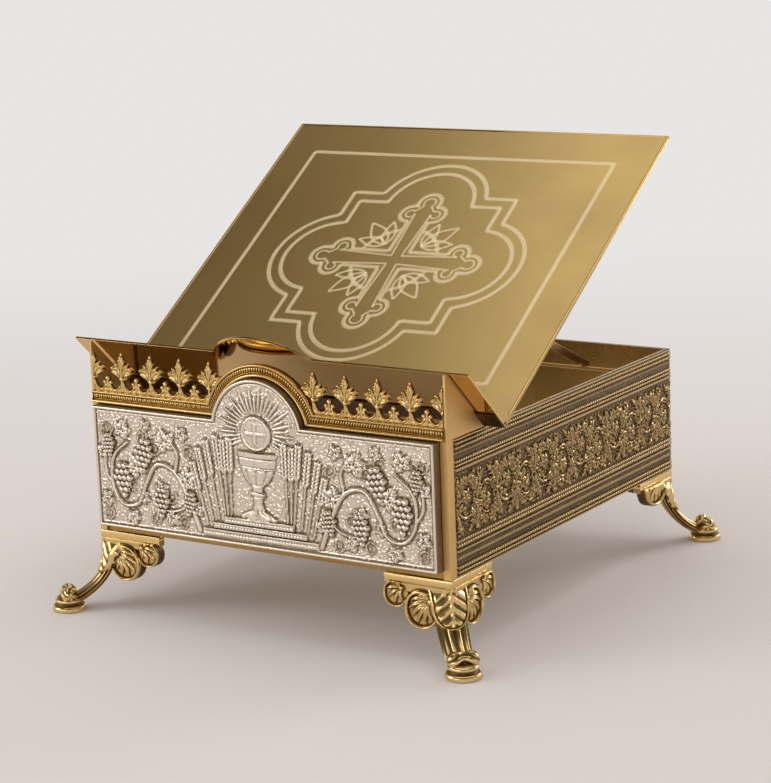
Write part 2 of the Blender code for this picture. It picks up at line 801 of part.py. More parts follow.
def stay_rest():
    """Turn of the stay about X, and its length to the rail, as it lies on the rail."""
    pivot = stay_pivot()
    away = Vector((RAIL.y - pivot.y, RAIL.z - pivot.z))
    lift = RAIL_RADIUS + TOUCH + STAY_HEIGHT / 2 - STAY_NOTCH
    turn = math.atan2(away.y, away.x) + math.asin(lift / away.length)
    return turn, math.sqrt(away.length ** 2 - lift ** 2)


def prop():
    """Bracket, pin and stay under the plate."""
    gap = STAY_SHEET / 2 + TOUCH
    wing = gap + BRACKET_SHEET
    base = -PLATE_FACE - TOUCH
    under = base - BRACKET_SHEET
    tip = -BRACKET_DROP - STAY_HEIGHT / 2
    section = [
        (-wing - BRACKET_FLANGE, base),
        (-wing - BRACKET_FLANGE, under),
        (-wing, under),
        (-wing, tip),
        (-gap, tip),
        (-gap, under),
        (gap, under),
        (gap, tip),
        (wing, tip),
        (wing, under),
        (wing + BRACKET_FLANGE, under),
        (wing + BRACKET_FLANGE, base),
    ]
    shifted = [(STAY_OFFSET + across, level) for across, level in section]
    low = BRACKET_REACH - BRACKET_LENGTH / 2
    channel = prism(shifted, "Y", low, low + BRACKET_LENGTH)
    eye = circle((BRACKET_REACH, -BRACKET_DROP), STAY_PIN_RADIUS + PIN_PLAY, 12)
    bore = prism(eye, "X", STAY_OFFSET - 2 * wing, STAY_OFFSET + 2 * wing)
    mesh = combine(channel, [bore], "DIFFERENCE")
    piece("prop_bracket", mesh, BRASS, 0.35, HINGE, PLATE_TILT)

    pivot = stay_pivot()
    ends = wing + TOUCH
    head = circle((0.0, 0.0), STAY_PIN_HEAD, 12)
    shank = circle((0.0, 0.0), STAY_PIN_RADIUS, 12)
    stops = [ends + STAY_PIN_HEAD_THICKNESS, ends]
    near = [(stops[1], shank), (stops[1], head), (stops[0], head)]
    levels = [(-level, outline) for level, outline in reversed(near)] + near
    pin = loft([[(level, a, b) for a, b in outline] for level, outline in levels])
    piece("prop_pin", pin, STEEL, 0.35, pivot, PLATE_TILT)

    turn, length = stay_rest()
    half = STAY_HEIGHT / 2
    notch_start = length - STAY_NOTCH_LENGTH + RAIL_RADIUS * 2
    notch_end = length + RAIL_RADIUS * 2
    end = length + STAY_TAIL
    outline = [
        *arc((0.0, 0.0), half, 90.0, 270.0, 10),
        (notch_start - STAY_NOTCH, -half),
        (notch_start, -half + STAY_NOTCH),
        (notch_end, -half + STAY_NOTCH),
        (notch_end + STAY_NOTCH, -half),
        (end - half / 2, -half),
        (end, -half / 2),
        (end, half / 2),
        (end - half / 2, half),
    ]
    bar = prism(outline, "X", -STAY_SHEET / 2, STAY_SHEET / 2)
    hole = prism(circle((0.0, 0.0), STAY_PIN_RADIUS + PIN_PLAY, 12), "X", -STAY_SHEET, STAY_SHEET)
    piece("prop_stay", combine(bar, [hole], "DIFFERENCE"), BRASS, 0.4, pivot, turn)


def rail():
    """Cross rail near the back and its two bosses."""
    half = SIDE - INNER - TOUCH
    rod = prism(circle((0.0, 0.0), RAIL_RADIUS, 12), "X", -half, half)
    piece("prop_rail", rod, BRASS, 0.35, RAIL)
    hole = circle((0.0, 0.0), RAIL_RADIUS + TOUCH, 12)
    disc = circle((0.0, 0.0), BOSS_RADIUS, 12)
    for name, side in (("rail_boss_left", -1), ("rail_boss_right", 1)):
        low, high = sorted((side * half, side * (half - BOSS_THICKNESS)))
        piece(name, ring(disc, hole, "X", low, high), BRASS, 0.35, RAIL)


OUT = Vector((1.0, 1.0, 0.0)).normalized()
ACROSS = Vector((-1.0, 1.0, 0.0)).normalized()
UP = Vector((0.0, 0.0, 1.0))


def turned(profile, place, sides):
    """Turn rows of (radius, distance along the axis); place maps two offsets and a distance to a point."""
    rings = []
    for radius, along in profile:
        rings.append([place(a, b, along) for a, b in circle((0.0, 0.0), radius, sides)])
    return loft(rings)


def front_wing():
    """Scrolled wing of a front foot along X: two lobes below the band, each a rolled volute."""
    top = BAND_FOOT + BAND_HEIGHT / 4
    outer = (-BAND_LENGTH + OUTER_LOBE_RADIUS, BAND_FOOT - OUTER_LOBE_RADIUS * 0.62)
    inner = (-LEAF_HALF_WIDTH - INNER_LOBE_RADIUS * 0.68, BAND_FOOT - INNER_LOBE_RADIUS * 1.09)
    root = -LEAF_HALF_WIDTH * 0.70
    web = [
        (root, top),
        (outer[0] - OUTER_LOBE_RADIUS * 0.9, top),
        (outer[0], outer[1]),
        (inner[0], inner[1] - INNER_LOBE_RADIUS * 0.5),
        (root, inner[1] - INNER_LOBE_RADIUS * 0.5),
    ]
    shapes = [prism(web, "Y", -WING_SHEET, 0.0)]
    for (along, level), radius in ((outer, OUTER_LOBE_RADIUS), (inner, INNER_LOBE_RADIUS)):
        rows = [
            (radius, -WING_SHEET - TOUCH),
            (radius, -LOBE_PROUD / 2),
            (radius * 0.80, LOBE_PROUD),
            (radius * 0.40, LOBE_PROUD * 0.3),
        ]
        shapes.append(turned(rows, lambda a, b, c, x=along, z=level: (x + a, c, z + b), LOBE_SIDES))
    return shapes


def rear_wing():
    """Wing of a back foot along X: one broad lobe below the band, with a raised and rolled face."""
    top = BAND_FOOT + BAND_HEIGHT / 4
    drop = REAR_LOBE_DROP + BAND_HEIGHT / 4
    heart = top - drop * 0.42
    root = -LEAF_HALF_WIDTH * 0.70
    web = [
        (root, top),
        (-REAR_LOBE_PLACE, top),
        (-REAR_LOBE_PLACE, top - drop * 0.86),
        (root, top - drop * 0.86),
    ]
    rows = [
        (1.0, -WING_SHEET - TOUCH),
        (1.0, -LOBE_PROUD / 2),
        (0.80, LOBE_PROUD),
        (0.40, LOBE_PROUD * 0.3),
    ]
    rings = []
    for share, depth in rows:
        points = []
        for step in range(REAR_LOBE_ARCS + 1):
            angle = math.pi * step / REAR_LOBE_ARCS
            along = -REAR_LOBE_PLACE + share * REAR_LOBE_HALF_WIDTH * math.cos(angle)
            level = heart + share * (top - drop * math.sin(angle) - heart)
            points.append((along, depth, level))
        rings.append(points)
    return [prism(web, "Y", -WING_SHEET, 0.0), loft(rings)]


def corner_leaf():
    """Ribbed shell leaf over the corner of a foot: upright under the band, rounded in below."""
    top = BAND_FOOT + BAND_HEIGHT / 8
    rows = []
    for row in range(LEAF_ROWS + 1):
        share = row / LEAF_ROWS
        girth = math.sqrt(1.0 - (0.97 * max(0.0, share - 0.33) / 0.67) ** 2)
        half = LEAF_HALF_WIDTH * girth
        level = UP * (top - LEAF_HEIGHT * share)
        points = [ACROSS * side * half - OUT * LEAF_HALF_WIDTH + level for side in (-1, 1)]
        for column in range(LEAF_COLUMNS + 1):
            angle = math.pi * column / LEAF_COLUMNS
            rib = LEAF_DEPTH * (math.sin(angle) * math.sqrt(girth) - FLUTE_SHARE * (column % 2))
            points.append(ACROSS * half * math.cos(angle) + OUT * (LEAF_PROUD - LEAF_DEPTH + rib) + level)
        rows.append(points)
    return loft(rows)


def foot_stem():
    """Fluted stem that sweeps down and out along the diagonal to the base."""
    top = BAND_FOOT
    drop = BAND_FOOT - BASE_HEIGHT * 0.75
    steps = 5
    centres = []
    for step in range(steps + 1):
        share = step / steps
        reach = -STEM_SETBACK + (SPLAY - SCROLL_RADIUS * 0.6 + STEM_SETBACK) * share ** 2.6
        level = top - drop * (1.0 - (1.0 - share) ** 1.15)
        centres.append(OUT * reach + UP * level)
    rings = []
    for index, centre in enumerate(centres):
        share = index / steps
        width = STEM_HALF_WIDTH + (ANKLE_HALF_WIDTH - STEM_HALF_WIDTH) * share
        ahead = centres[min(index + 1, steps)] - centres[max(index - 1, 0)]
        front = ACROSS.cross(ahead.normalized())
        points = []
        for side in range(STEM_SIDES):
            angle = 2.0 * math.pi * side / STEM_SIDES
            flute = 1.0 - FLUTE_SHARE * (side % 2)
            sideways = ACROSS * (width * flute * math.cos(angle))
            points.append(centre + sideways + front * (STEM_HALF_DEPTH * flute * math.sin(angle)))
        rings.append(points)
    return loft(rings)


def foot_scroll():
    """Scroll lying across the base, where the stem curls up."""
    middle = OUT * SPLAY + UP * (BASE_HEIGHT + SCROLL_RADIUS * 0.30)
    ends = [
        (SCROLL_RADIUS * 0.40, SCROLL_HALF_LENGTH),
        (SCROLL_RADIUS * 0.76, SCROLL_HALF_LENGTH * 0.88),
        (SCROLL_RADIUS, SCROLL_HALF_LENGTH * 0.56),
    ]
    rows = [(radius, -along) for radius, along in ends] + [(radius, along) for radius, along in reversed(ends)]
    return turned(rows, lambda a, b, c: middle + OUT * a + UP * b + ACROSS * c, LOBE_SIDES)


def foot_base():
    """Turned base of a foot, flat underneath."""
    middle = OUT * SPLAY
    rows = [
        (BASE_RADIUS * 0.95, 0.0),
        (BASE_RADIUS, BASE_HEIGHT * 0.14),
        (BASE_RADIUS * 0.96, BASE_HEIGHT * 0.32),
        (BASE_RADIUS * 0.74, BASE_HEIGHT * 0.58),
        (BASE_RADIUS * 0.84, BASE_HEIGHT * 0.80),
        (BASE_RADIUS * 0.62, BASE_HEIGHT * 1.06),
    ]
    return turned(rows, lambda a, b, c: middle + Vector((a, b, c)), BASE_SIDES)


def foot_shape(wing):
    """One cast foot with its wings, in the frame of its corner, which points to +X and +Y."""
    band = [
        (0.0, 0.0),
        (-BAND_LENGTH, 0.0),
        (-BAND_LENGTH, -BAND_DEPTH),
        (-WEB_REACH, -BAND_DEPTH),
        (-BAND_DEPTH, -WEB_REACH),
        (-BAND_DEPTH, -BAND_LENGTH),
        (0.0, -BAND_LENGTH),
    ]
    base = prism(band, "Z", BAND_FOOT, BAND_TOP)
    swap = Matrix(((0.0, 1.0, 0.0, 0.0), (1.0, 0.0, 0.0, 0.0), (0.0, 0.0, 1.0, 0.0), (0.0, 0.0, 0.0, 1.0)))
    other = [moved(mesh, swap) for mesh in wing]
    bolt_top = FLOOR + GUSSET_SHEET + WASHER_SHEET + NUT_HEIGHT + 3 * TOUCH + BOLT_TAIL
    bolt = prism(circle((-BOLT_INSET, -BOLT_INSET), BOLT_RADIUS, 10), "Z", BAND_FOOT + TOUCH, bolt_top)
    body = [corner_leaf(), foot_stem(), foot_scroll(), foot_base(), bolt]
    return combine(base, wing + other + body, "UNION")


def feet():
    """Four cast feet and what holds them inside the box."""
    shapes = {-1: foot_shape(front_wing()), 1: foot_shape(rear_wing())}
    corners = (
        ("front_left", -1, -1),
        ("front_right", 1, -1),
        ("back_left", -1, 1),
        ("back_right", 1, 1),
    )
    hole = circle((-BOLT_INSET, -BOLT_INSET), BOLT_RADIUS + BOLT_PLAY, 10)
    edge = INNER + TOUCH
    gusset_top = FLOOR + GUSSET_SHEET
    washer_foot = gusset_top + TOUCH
    nut_foot = washer_foot + WASHER_SHEET + TOUCH
    triangle = [(-edge, -edge), (-GUSSET_REACH, -edge), (-edge, -GUSSET_REACH)]
    gusset = ring(triangle, hole, "Z", FLOOR, gusset_top)
    disc = circle((-BOLT_INSET, -BOLT_INSET), WASHER_RADIUS, 10)
    washer = ring(disc, hole, "Z", washer_foot, washer_foot + WASHER_SHEET)
    hexagon = circle((-BOLT_INSET, -BOLT_INSET), NUT_RADIUS, 6)
    nut = ring(hexagon, hole, "Z", nut_foot, nut_foot + NUT_HEIGHT)
    for corner, across, along in corners:
        place = Matrix.Translation((across * SIDE, along * BACK, 0.0))
        place = place @ Matrix.Diagonal((across, along, 1.0, 1.0))
        piece("foot_" + corner, moved(shapes[along], place), BRASS, 0.25)
        piece("gusset_" + corner, moved(gusset, place), BRASS, 0.4)
        piece("foot_washer_" + corner, moved(washer, place), STEEL, 0.4)
        piece("foot_nut_" + corner, moved(nut, place), STEEL, 0.4)


def main():
    clear_scene()
    front_wall()
    relief_plaque()
    gallery_moulding()
    cresting()
    corner_angles()
    walls()
    strips()
    ledge()
    plate()
    long_hinge()
    prop()
    rail()
    feet()


main()
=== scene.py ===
"""Missal stand: carved relief, engraving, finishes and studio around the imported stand."""

import json
import math

import bpy
import numpy as np
from bpy.props import FloatProperty, FloatVectorProperty, IntProperty, PointerProperty
from mathutils import Matrix, Vector


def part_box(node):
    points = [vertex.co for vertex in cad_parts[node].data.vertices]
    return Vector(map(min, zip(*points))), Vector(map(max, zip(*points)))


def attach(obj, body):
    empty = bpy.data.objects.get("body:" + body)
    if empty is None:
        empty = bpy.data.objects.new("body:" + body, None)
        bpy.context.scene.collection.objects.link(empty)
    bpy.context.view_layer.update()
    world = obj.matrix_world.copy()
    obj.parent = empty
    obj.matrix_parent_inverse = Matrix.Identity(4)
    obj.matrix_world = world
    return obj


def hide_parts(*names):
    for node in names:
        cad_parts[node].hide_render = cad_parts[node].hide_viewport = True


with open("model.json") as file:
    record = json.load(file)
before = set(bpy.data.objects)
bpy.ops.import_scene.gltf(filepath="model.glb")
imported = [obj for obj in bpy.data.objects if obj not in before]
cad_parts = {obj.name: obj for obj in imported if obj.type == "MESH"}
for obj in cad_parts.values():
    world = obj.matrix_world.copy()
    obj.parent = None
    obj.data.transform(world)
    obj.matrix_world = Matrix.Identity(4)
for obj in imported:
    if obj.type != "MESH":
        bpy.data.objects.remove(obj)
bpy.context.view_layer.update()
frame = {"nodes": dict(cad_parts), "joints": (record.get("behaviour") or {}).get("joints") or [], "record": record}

bl_info = {
    "name": "Missal Stand",
    "version": (1, 0, 0),
    "blender": (4, 5, 0),
    "location": "View3D > Sidebar > Stand",
    "description": "Carved relief, engraving, finishes and studio of a brass missal stand",
    "category": "Object",
}

MM = 0.001
MOUNTS = {mount["name"]: mount for mount in frame["record"]["mounts"]}
TILT = next(joint for joint in frame["joints"] if joint["name"] == "plate_tilt")
HINGE = np.array(TILT["pos_m"])
PLATE_NORMAL = np.array(MOUNTS["book_face"]["axis"])
PLATE_ALONG = np.array((0.0, PLATE_NORMAL[2], -PLATE_NORMAL[1]))
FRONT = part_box("corner_angle_right")[0].y / MM
BACK = -FRONT
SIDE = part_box("corner_angle_right")[1].x / MM
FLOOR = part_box("side_wall_right")[0].z / MM
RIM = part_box("side_wall_right")[1].z / MM
CREST_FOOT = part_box("cresting_right")[0].z / MM
CREST_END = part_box("cresting_right")[1].x / MM
PLAQUE_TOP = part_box("relief_plaque")[1].z / MM
PLAQUE_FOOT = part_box("relief_plaque")[0].z / MM
PLAQUE_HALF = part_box("relief_plaque")[1].x / MM
ARCH_DROP = 7.5
ARCH_CENTRE = RIM - ARCH_DROP
ARCH_RADIUS = 38.5
MOULDING_WIDTH = 9.2
BAND_TOP = FLOOR - 0.3
BAND_FOOT = BAND_TOP - 7.2
BURR = 0.16
STUD_INSET = 14.0
WING_PROUD = 0.2
WING_DEPTH = 5.8
CORNERS = (("front_left", -1, -1), ("front_right", 1, -1), ("back_left", -1, 1), ("back_right", 1, 1))


class StandSizes(bpy.types.PropertyGroup):
    """Sizes of the carved and engraved work, in metres."""

    relief_depth: FloatProperty(
        name="Plaque relief", description="Height of the carving on the plaque",
        default=0.0032, min=0.0005, max=0.006, unit="LENGTH")
    frieze_depth: FloatProperty(
        name="Frieze relief", description="Height of the foliage on the side strips",
        default=0.0022, min=0.0005, max=0.004, unit="LENGTH")
    bead_pitch: FloatProperty(
        name="Bead pitch", description="Distance between beads on the side strips",
        default=0.0030, min=0.001, max=0.006, unit="LENGTH")
    dentil_pitch: FloatProperty(
        name="Dentil pitch", description="Distance between dentils on the gallery moulding",
        default=0.0021, min=0.001, max=0.006, unit="LENGTH")
    crest_pitch: FloatProperty(
        name="Fleur pitch", description="Distance between the fleurs of the cresting",
        default=0.0260, min=0.015, max=0.05, unit="LENGTH")
    rope_width: FloatProperty(
        name="Engraved line", description="Width of the hatched lines on the plate",
        default=0.0035, min=0.0005, max=0.006, unit="LENGTH")
    rope_pitch: FloatProperty(
        name="Hatch pitch", description="Distance between the strokes of an engraved line",
        default=0.0018, min=0.0005, max=0.004, unit="LENGTH")
    frieze_repeats: IntProperty(
        name="Frieze repeats", description="Scroll units along one side strip", default=6, min=2, max=12)


class StandColours(bpy.types.PropertyGroup):
    """Colours of the finishes."""

    polished: FloatVectorProperty(
        name="Polished brass", description="Ledge, cheeks and corner angles", subtype="COLOR",
        default=(0.74, 0.49, 0.19), min=0.0, max=1.0)
    satin: FloatVectorProperty(
        name="Satin brass", description="Book plate", subtype="COLOR",
        default=(0.65, 0.465, 0.185), min=0.0, max=1.0)
    engraved: FloatVectorProperty(
        name="Engraved line", description="Cut lines on the plate", subtype="COLOR",
        default=(0.95, 0.80, 0.52), min=0.0, max=1.0)
    gilt: FloatVectorProperty(
        name="Gilt brass", description="Cresting and moulding", subtype="COLOR",
        default=(0.72, 0.50, 0.20), min=0.0, max=1.0)
    # Gilt recess: patina and painted shade in the hollows of the cresting and moulding, and painted shade on the
    # fixed hinge leaf.
    gilt_recess: FloatVectorProperty(
        name="Gilt recess", description="Toned hollows of the cresting and moulding", subtype="COLOR",
        default=(0.13, 0.07, 0.02), min=0.0, max=1.0)
    cast: FloatVectorProperty(
        name="Cast brass", description="High places of the feet", subtype="COLOR",
        default=(0.78, 0.56, 0.25), min=0.0, max=1.0)
    # Cast recess: patina and painted shade in the hollows of the feet.
    cast_recess: FloatVectorProperty(
        name="Cast recess", description="Toned hollows of the feet", subtype="COLOR",
        default=(0.12, 0.075, 0.025), min=0.0, max=1.0)
    antique: FloatVectorProperty(
        name="Antique brass", description="High places of the side strips", subtype="COLOR",
        default=(0.56, 0.39, 0.18), min=0.0, max=1.0)
    # Antique recess: patina and painted shade in the hollows of the side strips.
    antique_recess: FloatVectorProperty(
        name="Antique recess", description="Hollows of the side strips", subtype="COLOR",
        default=(0.05, 0.03, 0.012), min=0.0, max=1.0)
    silver: FloatVectorProperty(
        name="Silver", description="High places of the plaque", subtype="COLOR",
        default=(0.84, 0.75, 0.63), min=0.0, max=1.0)
    # Silver recess: patina and painted shade in the hollows of the plaque, and the painted dark reflection on its
    # sides.
    silver_recess: FloatVectorProperty(
        name="Silver recess", description="Hollows of the plaque", subtype="COLOR",
        default=(0.20, 0.15, 0.09), min=0.0, max=1.0)
    # Sheet colour darker than the polished brass, partly as painted shade inside the box.
    sheet: FloatVectorProperty(
        name="Sheet brass", description="Inner walls", subtype="COLOR",
        default=(0.45, 0.28, 0.09), min=0.0, max=1.0)
    rod: FloatVectorProperty(
        name="Rod brass", description="Hinge, rail and stay", subtype="COLOR",
        default=(0.72, 0.50, 0.22), min=0.0, max=1.0)
    steel: FloatVectorProperty(
        name="Steel", description="Pins, nuts and washers", subtype="COLOR",
        default=(0.50, 0.49, 0.47), min=0.0, max=1.0)
    floor: FloatVectorProperty(
        name="Floor", description="Studio floor", subtype="COLOR",
        default=(0.69, 0.662, 0.680), min=0.0, max=1.0)
    backdrop: FloatVectorProperty(
        name="Backdrop", description="Far end of the studio floor", subtype="COLOR",
        default=(0.80, 0.785, 0.775), min=0.0, max=1.0)


class StandStudio(bpy.types.PropertyGroup):
    """Camera and lights of the studio."""

    azimuth: FloatProperty(
        name="Azimuth", description="Camera turn from the front towards the right",
        default=math.radians(33.23), subtype="ANGLE")
    elevation: FloatProperty(
        name="Elevation", description="Camera height angle", default=math.radians(12.51), subtype="ANGLE")
    roll: FloatProperty(
        name="Roll", description="Camera roll", default=math.radians(-2.18), subtype="ANGLE")
    distance: FloatProperty(
        name="Distance", description="From the camera to its aim", default=2.12763, unit="LENGTH")
    lens: FloatProperty(name="Lens", description="Focal length", default=112.12, unit="CAMERA")
    key: FloatProperty(name="Key light", description="Power of the left light", default=13.0, unit="POWER")
    fill: FloatProperty(name="Fill light", description="Power of the front light", default=6.0, unit="POWER")
    top: FloatProperty(name="Top light", description="Power of the overhead light", default=4.6, unit="POWER")
    back: FloatProperty(name="Back light", description="Power of the light behind", default=9.0, unit="POWER")
    world: FloatProperty(name="Room", description="Level of the room's light", default=0.80, min=0.0, max=2.0)


def sizes():
    """Sizes as set by the user."""
    return bpy.context.scene.stand_sizes


def colours():
    """Colours as set by the user."""
    return bpy.context.scene.stand_colours


def studio():
    """Studio as set by the user."""
    return bpy.context.scene.stand_studio


class Shell:
    """Closed surfaces gathered into one mesh, in millimetres, with a tone for each point."""

    def __init__(self):
        self.points = []
        self.tone = []
        self.faces = {3: [], 4: []}
        self.count = 0

    def add(self, points, quads, triangles=None, tone=1.0):
        points = np.asarray(points, float).reshape(-1, 3)
        quads = np.asarray(quads, int).reshape(-1, 4)
        triangles = np.zeros((0, 3), int) if triangles is None else np.asarray(triangles, int).reshape(-1, 3)
        fans = np.concatenate((quads[:, [0, 1, 2]], quads[:, [0, 2, 3]], triangles))
        corners = points[fans] - points.mean(axis=0)
        volume = np.einsum("ij,ij->i", corners[:, 0], np.cross(corners[:, 1], corners[:, 2])).sum()
        if volume < 0.0:
            quads = quads[:, ::-1]
            triangles = triangles[:, ::-1]
        self.points.append(points)
        self.tone.append(np.broadcast_to(tone, len(points)))
        self.faces[4].append(quads + self.count)
        self.faces[3].append(triangles + self.count)
        self.count += len(points)

    def mirrored(self, flip, shift):
        """Copy with its axes flipped by signs and then shifted."""
        copy = Shell()
        turn = np.prod(flip) < 0
        copy.points = [points * np.array(flip) + np.array(shift) for points in self.points]
        copy.tone = self.tone
        copy.faces = {size: [group[:, ::-1] if turn else group for group in groups]
                      for size, groups in self.faces.items()}
        copy.count = self.count
        return copy

    def build(self, name, material, body, replaced=(), finish=None):
        """Make the object, ride it on a body and let it stand for the nodes that it replaces."""
        points = np.concatenate(self.points) * MM
        quads = np.concatenate(self.faces[4])
        triangles = np.concatenate(self.faces[3])
        mesh = bpy.data.meshes.new(name)
        mesh.vertices.add(len(points))
        mesh.vertices.foreach_set("co", points.astype(np.float32).ravel())
        loops = np.concatenate((quads.ravel(), triangles.ravel()))
        mesh.loops.add(len(loops))
        mesh.loops.foreach_set("vertex_index", loops.astype(np.int32))
        starts = np.concatenate((np.arange(len(quads)) * 4, len(quads) * 4 + np.arange(len(triangles)) * 3))
        mesh.polygons.add(len(starts))
        mesh.polygons.foreach_set("loop_start", starts.astype(np.int32))
        mesh.update(calc_edges=True)
        mesh.validate()
        mesh.polygons.foreach_set("use_smooth", np.full(len(mesh.polygons), True))
        mesh.set_sharp_from_angle(angle=math.radians(50.0))
        tone = mesh.attributes.new("tone", "FLOAT", "POINT")
        tone.data.foreach_set("value", np.concatenate(self.tone).astype(np.float32))
        piece = bpy.data.objects.new(name, mesh)
        bpy.context.scene.collection.objects.link(piece)
        mesh.materials.append(material)
        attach(piece, body)
        if replaced:
            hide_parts(*replaced)
        return piece


def skin(rings):
    """Quads and end triangles over equal rings of points."""
    rings = np.asarray(rings, float)
    count, size = rings.shape[:2]
    index = np.arange(count * size).reshape(count, size)
    after = np.roll(index, -1, axis=1)
    quads = np.stack((index[:-1], after[:-1], after[1:], index[1:]), axis=-1).reshape(-1, 4)
    ends = np.stack((rings[0].mean(axis=0), rings[-1].mean(axis=0)))
    points = np.concatenate((rings.reshape(-1, 3), ends))
    first = np.stack((after[0], index[0], np.full(size, count * size)), axis=-1)
    last = np.stack((index[-1], after[-1], np.full(size, count * size + 1)), axis=-1)
    return points, quads, np.concatenate((first, last))


def turned(profile, place, sides):
    """Turn rows of (radius, distance along the axis) about an axis given by a place function."""
    angle = np.linspace(0.0, 2.0 * math.pi, sides, endpoint=False)
    return [place(radius * np.cos(angle), radius * np.sin(angle), along) for radius, along in profile]


def smooth_line(points, steps=8):
    """Smooth curve through a list of points."""
    points = np.asarray(points, float)
    padded = np.concatenate(([2 * points[0] - points[1]], points, [2 * points[-1] - points[-2]]))
    share = np.linspace(0.0, 1.0, steps, endpoint=False)[:, None]
    parts = []
    for p, q, r, s in zip(padded, padded[1:], padded[2:], padded[3:]):
        parts.append(0.5 * (2 * q + (r - p) * share + (2 * p - 5 * q + 4 * r - s) * share ** 2
                            + (3 * q - p - 3 * r + s) * share ** 3))
    return np.concatenate(parts + [points[-1:]])


def round_line(centre, radius, start, end, steps):
    """Points along an arc, in degrees; the radius may run from one value to another."""
    angle = np.radians(np.linspace(start, end, steps))
    reach = np.linspace(*radius, steps) if np.ndim(radius) else radius
    return np.stack((centre[0] + reach * np.cos(angle), centre[1] + reach * np.sin(angle)), axis=-1)


def softened(values, reach):
    """Local mean of a grid over a square of cells."""
    span = 2 * reach + 1
    for axis in (0, 1):
        count = values.shape[axis]
        margin = [(reach + 1, reach) if side == axis else (0, 0) for side in (0, 1)]
        total = np.cumsum(np.pad(values, margin, mode="edge"), axis=axis)
        upper = np.take(total, np.arange(span, span + count), axis=axis)
        lower = np.take(total, np.arange(count), axis=axis)
        values = (upper - lower) / span
    return values


def plaque_outline(relief):
    """How far each place lies within the plaque's arched outline."""
    a, b = np.meshgrid(relief.a, relief.b)
    arch = ARCH_RADIUS - 0.3 - np.hypot(a, b - ARCH_CENTRE)
    top = np.maximum(RIM - 0.3 - b, arch)
    return np.minimum(np.minimum(PLAQUE_HALF - np.abs(a), b - PLAQUE_FOOT), top)


def strip_rows(a, b, pitch):
    """Height of the mouldings and bead rows of a strip."""
    total = np.full(a.shape, 0.1)
    for start, end, kind, height in STRIP_ROWS:
        share = np.clip((b - start) / (end - start), 0.0, 1.0)
        crown = np.sqrt(np.clip(1.0 - (2.0 * share - 1.0) ** 2, 0.0, 1.0))
        if kind == "flat":
            crown = np.minimum(1.0, crown * 3.0)
        if kind == "beads":
            crown = crown * (0.15 + 0.85 * np.sqrt(np.abs(np.cos(math.pi * a / pitch))))
        total = np.maximum(total, np.where((b >= start) & (b <= end), height * crown, 0.0))
    return total


